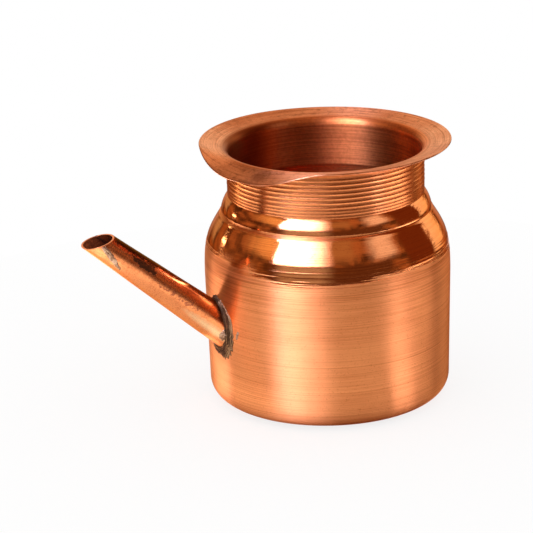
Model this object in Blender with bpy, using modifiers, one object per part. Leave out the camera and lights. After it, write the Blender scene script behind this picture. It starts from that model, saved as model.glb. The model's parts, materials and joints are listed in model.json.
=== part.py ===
"""Spouted copper water pot.

A vessel spun from one disc of copper, a taper spout rolled from copper sheet, the
solder that closes the spout's seam and the solder that holds the spout in the wall.
Metres, +Z up, origin at the centre of the base, spout towards -X.
"""
import math

import bmesh
import bpy
import numpy as np
from mathutils import Matrix, Vector

MM = 0.001

# Vessel: outer sizes of the spun wall
BODY_RADIUS = 46.0 * MM
WALL_FLARE = 0.8 * MM
WALL_HEIGHT = 48.0 * MM
BASE_CORNER_RADIUS = 7.2 * MM
SHOULDER_HEIGHT = 23.9 * MM
SHOULDER_INSET = 6.7 * MM
SHOULDER_SLOPE = math.radians(33.0)
SHOULDER_RISE = 13.4 * MM
SHOULDER_LEAN = 10.0 * MM
BEAD_HEIGHT = 6.3 * MM
BEAD_INSET = 2.7 * MM
BEAD_BULGE = 0.5 * MM
NECK_HEIGHT = 15.2 * MM
RIDGE_COUNT = 9
RIDGE_HEIGHT = 0.25 * MM
FLARE_RADIUS = 2.4 * MM
RIM_WIDTH = 10.0 * MM
RIM_SLOPE = math.radians(12.0)
VESSEL_SHEET = 0.8 * MM

# Lip: the stretch of the rim that is pressed down by hand
LIP_HEADING = math.radians(201.6)
LIP_HALF_SPAN = math.radians(42.0)
LIP_HALF_FLAT = math.radians(7.0)
LIP_PRESS = math.radians(36.0)

# Spout: outer sizes of the rolled tube, its length taken from the wall along its axis
SPOUT_HEIGHT = 34.0 * MM
SPOUT_RISE = math.radians(40.5)
SPOUT_LENGTH = 60.4 * MM
SPOUT_ROOT_RADIUS = 6.75 * MM
SPOUT_MOUTH_RADIUS = 5.0 * MM
SPOUT_SHEET = 0.6 * MM
SPOUT_STUB = 1.5 * MM
MOUTH_FALL = math.radians(12.8)
MOUTH_SKEW = math.radians(4.9)

# Solder: the strip in the spout's seam and the ring round its root
SEAM_ANGLE = math.radians(73.0)
SEAM_WIDTH = 1.0 * MM
RING_FILM = 0.4 * MM
RING_RISE = 2.0 * MM
RING_REACH = 2.6 * MM
RING_INNER_RISE = 0.8 * MM
RING_INNER_REACH = 1.2 * MM

# Clearance between neighbouring pieces
SEAT_GAP = 0.3 * MM

# Fineness of the round forms
VESSEL_STEPS = 60
SPOUT_STEPS = 32
RING_SECTIONS = 48
CORNER_SEGMENTS = 6
SHOULDER_SEGMENTS = 7
BEAD_SEGMENTS = 4
FLARE_SEGMENTS = 5
FILLET_SEGMENTS = 4
SOLVE_HALVINGS = 48
MERGE_DISTANCE = 0.01 * MM
SHARP_ANGLE = math.radians(25.0)

# How far cutters and untrimmed ends run past what they cut
OVERRUN = 15.0 * MM


def clear_scene():
    """Remove whatever the scene holds."""
    for item in list(bpy.data.objects):
        bpy.data.objects.remove(item, do_unlink=True)


def new_collection(name):
    """Make a collection in the scene."""
    collection = bpy.data.collections.new(name)
    bpy.context.scene.collection.children.link(collection)
    return collection


def metal(name, colour, roughness, metallic):
    """A Principled material with one colour."""
    material = bpy.data.materials.new(name)
    material.use_nodes = True
    shader = material.node_tree.nodes["Principled BSDF"]
    shader.inputs["Base Color"].default_value = (*colour, 1.0)
    shader.inputs["Roughness"].default_value = roughness
    shader.inputs["Metallic"].default_value = metallic
    return material


def add_object(name, mesh, collection, material=None, parent=None):
    """Put a mesh in the scene as a named object."""
    item = bpy.data.objects.new(name, mesh)
    collection.objects.link(item)
    item.parent = parent
    if material is not None:
        mesh.materials.append(material)
    return item


def add_cutter(name, mesh, collection, parent=None):
    """Put a mesh in the scene as a cutter, seen as wire and never rendered."""
    item = add_object(name, mesh, collection, parent=parent)
    item.hide_render = True
    item.display_type = "WIRE"
    return item


def cut(item, cutter, operation="DIFFERENCE"):
    """Add an exact Boolean to an object."""
    modifier = item.modifiers.new(cutter.name, "BOOLEAN")
    modifier.object = cutter
    modifier.operation = operation
    modifier.solver = "EXACT"


def wall_inwards(item, thickness):
    """Give an open outer surface its sheet thickness on the inner side."""
    modifier = item.modifiers.new("sheet", "SOLIDIFY")
    modifier.thickness = thickness
    modifier.offset = -1.0
    modifier.use_even_offset = True
    modifier.use_quality_normals = True


def evaluated_mesh(item):
    """The mesh that an object's modifiers make."""
    bpy.context.view_layer.update()
    graph = bpy.context.evaluated_depsgraph_get()
    return bpy.data.meshes.new_from_object(item.evaluated_get(graph))


def turned_mesh(name, outline, steps, collection):
    """Turn an outline of (radius, height) points, listed from the top down, about Z."""
    line = bpy.data.meshes.new(name)
    points = [(radius, 0.0, height) for radius, height in outline]
    edges = [(index, index + 1) for index in range(len(points) - 1)]
    line.from_pydata(points, edges, [])
    item = add_object(name, line, collection)
    screw = item.modifiers.new("turn", "SCREW")
    screw.steps = steps
    screw.render_steps = steps
    screw.use_merge_vertices = True
    screw.merge_threshold = MERGE_DISTANCE
    mesh = evaluated_mesh(item)
    bpy.data.objects.remove(item, do_unlink=True)
    bpy.data.meshes.remove(line)
    mesh.name = name
    return mesh


def smooth(mesh):
    """Shade a round mesh smooth, with its corners kept sharp."""
    mesh.shade_smooth()
    mesh.set_sharp_from_angle(angle=SHARP_ANGLE)


def arc_points(centre, radius, start, end, segments):
    """Points of a circular arc in the (radius, height) plane."""
    angles = np.linspace(start, end, segments + 1)
    return [(centre[0] + radius * math.cos(angle), centre[1] + radius * math.sin(angle))
            for angle in angles]


def bulged_points(first, last, bulge, segments):
    """Points of the arc over a chord that stands out from it by the bulge."""
    chord = Vector(last) - Vector(first)
    side = Vector((chord.y, -chord.x)).normalized()
    radius = chord.length ** 2 / (8.0 * bulge) + bulge / 2.0
    centre = (Vector(first) + Vector(last)) / 2.0 + side * (bulge - radius)
    start = math.atan2(first[1] - centre.y, first[0] - centre.x)
    end = math.atan2(last[1] - centre.y, last[0] - centre.x)
    return arc_points(centre, radius, start, end, segments)


def shoulder_points(foot, crease, segments):
    """Points of a cubic curve that leaves the wall upright and ends at the shoulder's slope."""
    slope = Vector((math.sin(SHOULDER_SLOPE), -math.cos(SHOULDER_SLOPE)))
    first = Vector(foot)
    second = first + Vector((0.0, SHOULDER_RISE))
    fourth = Vector(crease)
    third = fourth + slope * SHOULDER_LEAN
    points = []
    for t in np.linspace(0.0, 1.0, segments + 1):
        u = 1.0 - t
        point = first * u**3 + second * (3 * u * u * t) + third * (3 * u * t * t) + fourth * t**3
        points.append(tuple(point))
    return points


CREASE = (BODY_RADIUS - SHOULDER_INSET, WALL_HEIGHT + SHOULDER_HEIGHT)
NECK_FOOT = (CREASE[0] - BEAD_INSET, CREASE[1] + BEAD_HEIGHT)
FLARE_CENTRE = (NECK_FOOT[0] + FLARE_RADIUS, NECK_FOOT[1] + NECK_HEIGHT)


def side_outline():
    """The vessel's outer side from the base up to the foot of the neck."""
    foot_radius = BODY_RADIUS - WALL_FLARE
    corner = (foot_radius - BASE_CORNER_RADIUS, BASE_CORNER_RADIUS)
    points = arc_points(corner, BASE_CORNER_RADIUS, -math.pi / 2, 0.0, CORNER_SEGMENTS)
    points += shoulder_points((BODY_RADIUS, WALL_HEIGHT), CREASE, SHOULDER_SEGMENTS)
    points += bulged_points(CREASE, NECK_FOOT, BEAD_BULGE, BEAD_SEGMENTS)[1:]
    return points


def neck_outline():
    """The neck's ridges, each a crest between two grooves, above the neck's foot."""
    pitch = NECK_HEIGHT / RIDGE_COUNT
    points = []
    for ridge in range(RIDGE_COUNT):
        base = NECK_FOOT[1] + ridge * pitch
        points.append((NECK_FOOT[0] + RIDGE_HEIGHT, base + pitch / 2))
        points.append((NECK_FOOT[0], base + pitch))
    return points


def rim_outline():
    """The flare out of the neck and the sloping rim, seen from below."""
    flare_end = math.pi / 2 + RIM_SLOPE
    points = arc_points(FLARE_CENTRE, FLARE_RADIUS, math.pi, flare_end, FLARE_SEGMENTS)
    start = points[-1]
    edge_radius = NECK_FOOT[0] + RIM_WIDTH
    edge_height = start[1] + (edge_radius - start[0]) * math.tan(RIM_SLOPE)
    middle = ((start[0] + edge_radius) / 2, (start[1] + edge_height) / 2)
    return points[1:] + [middle, (edge_radius, edge_height)]


def wall_radius(height):
    """Outer radius of the vessel's side at a height."""
    radii, heights = zip(*side_outline())
    return np.interp(height, heights, radii)


def smooth_step(value):
    """Ease from 0 to 1, level at both ends."""
    value = min(max(value, 0.0), 1.0)
    return value * value * (3.0 - 2.0 * value)


def press_lip(mesh):
    """Bend the rim down about its flare, over the span of the lip."""
    pivot = Vector((FLARE_CENTRE[0] - FLARE_RADIUS / 2, FLARE_CENTRE[1] + FLARE_RADIUS))
    bend_end = FLARE_CENTRE[0]
    for vertex in mesh.vertices:
        heading = math.atan2(vertex.co.y, vertex.co.x)
        radius = math.hypot(vertex.co.x, vertex.co.y)
        if vertex.co.z < FLARE_CENTRE[1] + MERGE_DISTANCE:
            continue
        away = abs((heading - LIP_HEADING + math.pi) % (2 * math.pi) - math.pi)
        span = smooth_step((LIP_HALF_SPAN - away) / (LIP_HALF_SPAN - LIP_HALF_FLAT))
        share = smooth_step((radius - NECK_FOOT[0]) / (bend_end - NECK_FOOT[0]))
        turn = Matrix.Rotation(-LIP_PRESS * span * share, 2)
        bent = pivot + turn @ (Vector((radius, vertex.co.z)) - pivot)
        vertex.co = (bent.x * math.cos(heading), bent.x * math.sin(heading), bent.y)


def spout_radius(along):
    """Outer radius of the spout at a distance along its axis from the wall."""
    taper = (SPOUT_MOUTH_RADIUS - SPOUT_ROOT_RADIUS) / SPOUT_LENGTH
    return SPOUT_ROOT_RADIUS + taper * along


def spout_matrix():
    """Frame of the spout: origin on the wall, Z along the axis outwards, X over its top."""
    along = Vector((-math.cos(SPOUT_RISE), 0.0, math.sin(SPOUT_RISE)))
    top = Vector((math.sin(SPOUT_RISE), 0.0, math.cos(SPOUT_RISE)))
    frame = Matrix((top, along.cross(top), along)).transposed().to_4x4()
    frame.translation = (-float(wall_radius(SPOUT_HEIGHT)), 0.0, SPOUT_HEIGHT)
    return frame


def cone_mesh(name, margin, start, end, collection):
    """Outer surface of the spout, grown by a margin, between two places on its axis."""
    outline = [(spout_radius(end) + margin, end), (spout_radius(start) + margin, start)]
    return turned_mesh(name, outline, SPOUT_STEPS, collection)


def bar_mesh(name, width, near, far, start, end, angle):
    """A bar along the spout's axis, set at an angle round it."""
    mesh = bpy.data.meshes.new(name)
    shape = bmesh.new()
    bmesh.ops.create_cube(shape, size=1.0)
    size = Matrix.Diagonal((far - near, width, end - start, 1.0))
    place = Matrix.Translation(((near + far) / 2, 0.0, (start + end) / 2))
    bmesh.ops.transform(shape, matrix=Matrix.Rotation(angle, 4, "Z") @ place @ size,
                        verts=shape.verts)
    shape.to_mesh(mesh)
    shape.free()
    return mesh


def mouth_cutter(cutters):
    """A block above the slanting plane of the spout's mouth."""
    frame = spout_matrix()
    centre = frame @ Vector((0.0, 0.0, SPOUT_LENGTH))
    normal = Vector((-math.tan(MOUTH_FALL), -math.tan(MOUTH_SKEW), 1.0)).normalized()
    size = 6.0 * SPOUT_ROOT_RADIUS + 2.0 * OVERRUN
    mesh = bpy.data.meshes.new("mouth_cut")
    shape = bmesh.new()
    bmesh.ops.create_cube(shape, size=size)
    shape.to_mesh(mesh)
    shape.free()
    cutter = add_cutter("mouth_cut", mesh, cutters)
    turn = normal.to_track_quat("Z", "Y").to_matrix().to_4x4()
    cutter.matrix_world = Matrix.Translation(centre + normal * size / 2) @ turn
    return cutter


def root_cutter(cutters):
    """The vessel's inner space less the stub, which trims the spout's inner end."""
    low, high = BASE_CORNER_RADIUS, CREASE[1]
    heights = np.linspace(high, low, SHOULDER_SEGMENTS + 1)
    inset = VESSEL_SHEET + SPOUT_STUB
    outline = [(0.0, high)]
    outline += [(float(wall_radius(height)) - inset, float(height)) for height in heights]
    outline.append((0.0, low))
    mesh = turned_mesh("root_cut", outline, VESSEL_STEPS, cutters)
    return add_cutter("root_cut", mesh, cutters)


def spout_shell(name, parts, cutters, material, parent, trims):
    """The whole spout tube, cut to its mouth and to its stub inside the vessel."""
    mesh = cone_mesh(name, 0.0, -OVERRUN, SPOUT_LENGTH + OVERRUN, cutters)
    smooth(mesh)
    item = add_object(name, mesh, parts, material, parent)
    wall_inwards(item, SPOUT_SHEET)
    for trim in trims:
        cut(item, trim)
    return item


def ring_section():
    """Outline of the root solder as (gap to the tube, height over the wall) points.

    The outer fillet stands on the wall, a film runs through the hole and a smaller
    fillet lies against the inner face, so the ring grips the wall from both sides.
    """
    inside = -VESSEL_SHEET - SEAT_GAP
    film = SEAT_GAP + RING_FILM
    turn = np.linspace(0.0, math.pi / 2, FILLET_SEGMENTS + 1)
    outer = [(SEAT_GAP + RING_REACH * (1 - math.cos(a)), SEAT_GAP + RING_RISE * (1 - math.sin(a)))
             for a in turn]
    inner = [(SEAT_GAP + RING_INNER_REACH * (1 - math.sin(a)),
              inside - RING_INNER_RISE * (1 - math.cos(a)))
             for a in turn]
    return np.array(outer + [(film, SEAT_GAP), (film, inside)] + inner)


def ring_points():
    """Sections of the root solder round the spout, in the spout's frame.

    Each point keeps its distance from the tube, and slides along the tube until it has
    its height over the vessel's wall.
    """
    section = ring_section()
    around = np.linspace(0.0, 2.0 * math.pi, RING_SECTIONS, endpoint=False)
    side = np.cos(around)[:, None]
    across = np.sin(around)[:, None]
    frame = np.array(spout_matrix())
    low = np.full((RING_SECTIONS, len(section)), -2.0 * OVERRUN)
    high = -low
    for _ in range(SOLVE_HALVINGS):
        along = (low + high) / 2
        radius = spout_radius(along) + section[:, 0]
        local = np.stack([radius * side, radius * across, along], axis=-1)
        world = local @ frame[:3, :3].T + frame[:3, 3]
        reach = np.hypot(world[..., 0], world[..., 1])
        outside = reach - wall_radius(world[..., 2]) > section[:, 1]
        high = np.where(outside, along, high)
        low = np.where(outside, low, along)
    return local


def make_vessel(parts, cutters, parent):
    """The spun pot with its ridged neck, flared rim, pressed lip and hole for the spout."""
    outline = [(0.0, 0.0)] + side_outline() + neck_outline() + rim_outline()
    mesh = turned_mesh("pot_body", outline[::-1], VESSEL_STEPS, cutters)
    press_lip(mesh)
    smooth(mesh)
    copper = metal("satin copper", (0.72, 0.29, 0.13), 0.32, 1.0)
    pot = add_object("pot_body", mesh, parts, copper)
    wall_inwards(pot, VESSEL_SHEET)
    margin = 2.0 * SEAT_GAP + RING_FILM
    hole = cone_mesh("spout_hole", margin, -OVERRUN, OVERRUN, cutters)
    bm = bmesh.new()
    bm.from_mesh(hole)
    bmesh.ops.holes_fill(bm, edges=bm.edges)
    bm.to_mesh(hole)
    bm.free()
    cut(pot, add_cutter("spout_hole", hole, cutters, parent))


def make_spout(parts, cutters, parent):
    """The rolled tube with its open seam, and the strip of solder that fills the seam."""
    trims = [mouth_cutter(cutters), root_cutter(cutters)]
    copper = metal("spout copper", (0.68, 0.26, 0.11), 0.34, 1.0)
    solder = metal("seam solder", (0.50, 0.40, 0.32), 0.45, 1.0)
    tube = spout_shell("spout_tube", parts, cutters, copper, parent, trims)
    strip = spout_shell("spout_seam_solder", parts, cutters, solder, parent, trims)
    reach = (0.0, SPOUT_ROOT_RADIUS * 2.0, -2.0 * OVERRUN, SPOUT_LENGTH + 2.0 * OVERRUN)
    slit = bar_mesh("seam_slit", SEAM_WIDTH + 2.0 * SEAT_GAP, *reach, SEAM_ANGLE)
    fill = bar_mesh("seam_fill", SEAM_WIDTH, *reach, SEAM_ANGLE)
    cut(tube, add_cutter("seam_slit", slit, cutters, parent))
    cut(strip, add_cutter("seam_fill", fill, cutters, parent), "INTERSECT")


def make_root_solder(parts, parent):
    """The ring of solder round the spout's root, lofted along the line where it meets the wall."""
    points = ring_points()
    sections, corners = points.shape[:2]
    mesh = bpy.data.meshes.new("spout_root_solder")
    shape = bmesh.new()
    grid = [[shape.verts.new(point) for point in section] for section in points]
    for i in range(sections):
        following = grid[(i + 1) % sections]
        for j in range(corners):
            k = (j + 1) % corners
            shape.faces.new((grid[i][j], grid[i][k], following[k], following[j]))
    bmesh.ops.recalc_face_normals(shape, faces=shape.faces)
    shape.to_mesh(mesh)
    shape.free()
    smooth(mesh)
    solder = metal("root solder", (0.20, 0.15, 0.12), 0.5, 0.7)
    add_object("spout_root_solder", mesh, parts, solder, parent)


def main():
    """Build the pot."""
    clear_scene()
    parts = new_collection("Spouted water pot")
    cutters = new_collection("Cutters")
    spout_frame = bpy.data.objects.new("spout_frame", None)
    parts.objects.link(spout_frame)
    spout_frame.matrix_world = spout_matrix()
    make_vessel(parts, cutters, spout_frame)
    make_spout(parts, cutters, spout_frame)
    make_root_solder(parts, spout_frame)


main()
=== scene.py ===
"""Looks of the spouted copper water pot: fine surfaces, finishes, studio and camera.

Shapes are worked out in millimetres as numpy grids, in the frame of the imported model, and
go into Blender in metres: +Z up, origin under the middle of the base, spout towards -X.
"""
from __future__ import annotations

import json
import logging
import math
from dataclasses import dataclass
from enum import Enum, IntEnum

import bpy
import numpy as np
from mathutils import Matrix, Vector

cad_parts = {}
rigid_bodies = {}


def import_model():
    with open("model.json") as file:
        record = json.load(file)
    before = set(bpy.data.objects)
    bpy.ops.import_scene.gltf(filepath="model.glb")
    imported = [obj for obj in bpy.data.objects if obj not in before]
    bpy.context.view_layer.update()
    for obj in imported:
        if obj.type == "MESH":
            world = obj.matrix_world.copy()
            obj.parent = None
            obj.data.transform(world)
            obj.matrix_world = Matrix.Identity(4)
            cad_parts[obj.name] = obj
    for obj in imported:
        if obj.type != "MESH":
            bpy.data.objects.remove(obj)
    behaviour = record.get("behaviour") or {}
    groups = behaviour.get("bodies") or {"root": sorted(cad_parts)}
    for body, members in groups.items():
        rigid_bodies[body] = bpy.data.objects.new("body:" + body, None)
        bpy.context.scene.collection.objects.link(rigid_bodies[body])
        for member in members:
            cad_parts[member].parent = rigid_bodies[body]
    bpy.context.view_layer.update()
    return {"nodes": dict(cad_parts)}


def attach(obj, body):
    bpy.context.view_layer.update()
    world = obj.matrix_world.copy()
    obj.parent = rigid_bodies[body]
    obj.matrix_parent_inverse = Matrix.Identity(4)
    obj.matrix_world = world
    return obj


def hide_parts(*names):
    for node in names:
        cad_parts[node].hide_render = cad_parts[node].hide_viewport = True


LOG = logging.getLogger("water_pot")
MM = 0.001
BODY = "root"
CHART = "chart"
FULL_TURN = 2.0 * math.pi
QUARTER = 0.25

# Millimetres of the spout to one unit of its chart
TUBE_UNIT = 100.0

# Features to a degree of the noise that frays a card's edges, across and up
WANDER = (0.06, 0.4)

Grid = np.ndarray
Item = bpy.types.Object
Finish = bpy.types.Material
Colour = tuple[float, float, float]
Span = tuple[float, float]
Feed = float | bpy.types.NodeSocket

# Where a value starts and ends, and what is made of it at both
Ease = tuple[float, float, float, float]


class Zone(IntEnum):
    """The vessel's finishes, in the order of its material slots."""

    SKIN = 0
    NECK = 1
    MOUTH = 2


class TubeFace(IntEnum):
    """The spout's finishes, in the order of its material slots."""

    OUTSIDE = 0
    EDGE = 1
    BORE = 2


class Carrier(Enum):
    """What a smear of solder lies on."""

    TUBE = "tube"
    WALL = "wall"


# Grid helpers


def smooth_step(value: Grid) -> Grid:
    """Ease from 0 to 1, level at both ends."""
    value = np.clip(value, 0.0, 1.0)
    return value * value * (3.0 - 2.0 * value)


def eased(count: int) -> Grid:
    """Places from 0 to 1 that crowd towards both ends, as half a cosine wave does."""
    return 0.5 - 0.5 * np.cos(np.linspace(0.0, math.pi, count))


def around(count: int) -> Grid:
    """Even angles round a full turn, in radians."""
    return np.linspace(0.0, FULL_TURN, count, endpoint=False)


def turned_by(angles: Grid, middle: float) -> Grid:
    """Signed angle from a middle direction, between minus and plus half a turn."""
    return (angles - middle + math.pi) % FULL_TURN - math.pi


def bell(offset: Grid, width: float) -> Grid:
    """Bell curve: 1 in its middle, and 1/e at its width."""
    return np.exp(-(offset / width) ** 2)


def bell_round(angles: Grid, middle: float, width: float) -> Grid:
    """Bell curve over angles in radians, with its middle and width in degrees."""
    return bell(turned_by(angles, math.radians(middle)), math.radians(width))


def polar(radius: Grid, angle: Grid, height: Grid) -> Grid:
    """Points at a radius, an angle in radians and a height about an axis."""
    parts = np.broadcast_arrays(radius * np.cos(angle), radius * np.sin(angle), height)
    return np.stack(parts, axis=-1)


def paired(first: Grid, second: Grid | float) -> Grid:
    """Pairs from two arrays, such as (radius, height)."""
    return np.stack(np.broadcast_arrays(first, second), axis=-1)


def arc(centre: Span | Grid, radius: float, start: float, end: float, count: int) -> Grid:
    """Points of a circular arc in the (radius, height) plane, angles in degrees."""
    angles = np.radians(np.linspace(start, end, count))
    return np.asarray(centre) + radius * paired(np.cos(angles), np.sin(angles))


@dataclass(frozen=True)
class Ripple:
    """Sum of cosine waves round a circle with drawn phases.

    Attributes:
        depth: Height of the sum where all its waves agree.
        waves: Whole numbers of waves to a turn; a wave's share falls with its place.
        seed: Seed of the phases.
    """

    depth: float
    waves: tuple[int, ...]
    seed: int

    def at(self, angles: Grid) -> Grid:
        """The ripple at angles in radians."""
        phases = np.random.default_rng(self.seed).uniform(0.0, FULL_TURN, len(self.waves))
        shares = 1.0 / np.arange(1, len(self.waves) + 1)
        parts = [share * np.cos(wave * angles + phase)
                 for wave, phase, share in zip(self.waves, phases, shares)]
        return self.depth * (np.sum(parts, axis=0) / shares.sum())


@dataclass
class GridSurface:
    """A surface as rows of points, made into one mesh.

    Attributes:
        name: Name of the piece.
        rows: Points in millimetres, indexed by row, column and axis.
        ring_columns: Whether the last column joins the first.
        ring_rows: Whether the last row joins the first.
        first_pole: Point that closes the surface before its first row.
        last_pole: Point that closes the surface after its last row.
        zones: Material index of each row, or None for one material.
        flip: Whether the faces turn the other way.
        chart: UV of each row and column, or None for even steps.
    """

    name: str
    rows: Grid
    ring_columns: bool = True
    ring_rows: bool = False
    first_pole: Grid | None = None
    last_pole: Grid | None = None
    zones: Grid | None = None
    flip: bool = False
    chart: Grid | None = None

    @classmethod
    def plugged(cls, name: str, rows: Grid) -> GridSurface:
        """Rows closed at each end by a point in the middle of the end row."""
        return cls(name, rows, first_pole=rows[0].mean(axis=0), last_pole=rows[-1].mean(axis=0))

    def quads(self) -> tuple[Grid, Grid]:
        """Corner indices of the quads, and the row that each starts from."""
        count, width = self.rows.shape[:2]
        down = np.arange(count if self.ring_rows else count - 1)
        along = np.arange(width if self.ring_columns else width - 1)
        row, column = (part.ravel() for part in np.meshgrid(down, along, indexing="ij"))
        after = (column + 1) % width
        below = (row + 1) % count
        corners = [row * width + column, row * width + after, below * width + after,
                   below * width + column]
        return np.stack(corners, axis=1), row

    def caps(self) -> Grid:
        """Quads that close the first and last columns of rows that run out and back."""
        count, width = self.rows.shape[:2]
        if self.ring_columns or not self.ring_rows:
            return np.zeros((0, 4), int)
        out = np.arange(count // 2 - 1)
        back = count - 1 - out
        first = np.stack([out, out + 1, back - 1, back], axis=1) * width
        return np.concatenate([first, first[:, ::-1] + width - 1])

    def fans(self) -> Grid:
        """Triangles round the poles."""
        count, width = self.rows.shape[:2]
        column = np.arange(width)
        after = (column + 1) % width
        last = (count - 1) * width
        pole = count * width
        fans = [np.zeros((0, 3), int)]
        if self.first_pole is not None:
            fans.append(np.stack([np.full(width, pole), after, column], axis=1))
            pole += 1
        if self.last_pole is not None:
            fans.append(np.stack([last + column, last + after, np.full(width, pole)], axis=1))
        return np.concatenate(fans)

    def places(self) -> Grid:
        """UV of every point of the grid, as rows of (u, v)."""
        if self.chart is not None:
            return self.chart.reshape(-1, 2)
        count, width = self.rows.shape[:2]
        v, u = np.meshgrid(np.arange(count) / count, np.arange(width) / width, indexing="ij")
        return paired(u, v).reshape(-1, 2)

    def mesh(self) -> bpy.types.Mesh:
        """The mesh in metres, smooth, with its UV map and material indices."""
        poles = [pole for pole in (self.first_pole, self.last_pole) if pole is not None]
        points = np.concatenate([self.rows.reshape(-1, 3), *[np.reshape(p, (1, 3)) for p in poles]])
        quads, starts = self.quads()
        walls = np.concatenate([quads, self.caps()])
        order = slice(None, None, -1 if self.flip else 1)
        faces = walls[:, order].tolist() + self.fans()[:, order].tolist()
        mesh = bpy.data.meshes.new(self.name)
        mesh.from_pydata((points * MM).tolist(), [], faces)
        mesh.polygons.foreach_set("use_smooth", np.ones(len(faces), bool))
        if self.zones is not None:
            slots = np.full(len(faces), self.zones[-1])
            slots[:len(starts)] = self.zones[starts]
            if self.first_pole is not None:
                slots[len(walls):len(walls) + self.rows.shape[1]] = self.zones[0]
            mesh.polygons.foreach_set("material_index", slots.astype(np.int32))
        self.chart_corners(mesh, len(points))
        mesh.validate()
        mesh.update()
        return mesh

    def chart_corners(self, mesh: bpy.types.Mesh, count: int) -> None:
        """Write the UV map, with the last column's far corners carried past the seam.

        Args:
            mesh: Mesh that holds the faces already.
            count: Number of points, poles included.
        """
        corners = np.zeros(len(mesh.loops), np.int32)
        mesh.loops.foreach_get("vertex_index", corners)
        grid = self.places()
        places = np.zeros((count, 2))
        places[:len(grid)] = grid
        places[len(grid):] = grid.mean(axis=0)
        chart = places[corners]
        if self.ring_columns and self.chart is None:
            first_columns = 1.5 / self.rows.shape[1]
            end = self.quads()[0].size
            wide = chart[:end, 0].reshape(-1, 4)
            seam = np.ptp(wide, axis=1) > 0.5
            wide[seam] += np.where(wide[seam] < first_columns, 1.0, 0.0)
            chart[:end, 0] = wide.ravel()
        layer = mesh.uv_layers.new(name=CHART)
        layer.data.foreach_set("uv", chart.astype(np.float32).ravel())

    def piece(self, *finishes: Finish) -> Item:
        """The mesh as an object at the origin, with its materials.

        Args:
            finishes: Materials in the order of the zones.

        Returns:
            The object, linked into the scene.
        """
        mesh = self.mesh()
        for finish in finishes:
            mesh.materials.append(finish)
        item = bpy.data.objects.new(self.name, mesh)
        bpy.context.scene.collection.objects.link(item)
        return item


def carve(item: Item, cutter: Item) -> None:
    """Cut one object out of another for good, and remove the cutter.

    Args:
        item: Closed object that is cut.
        cutter: Closed object that is taken away from it.
    """
    modifier = item.modifiers.new("cut", "BOOLEAN")
    modifier.object = cutter
    modifier.operation = "DIFFERENCE"
    modifier.solver = "MANIFOLD"
    bpy.context.view_layer.update()
    graph = bpy.context.evaluated_depsgraph_get()
    carved = bpy.data.meshes.new_from_object(item.evaluated_get(graph))
    item.modifiers.clear()
    whole, item.data = item.data, carved
    carved.name = item.name
    bpy.data.objects.remove(cutter)
    bpy.data.meshes.remove(whole)


# Finishes


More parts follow.
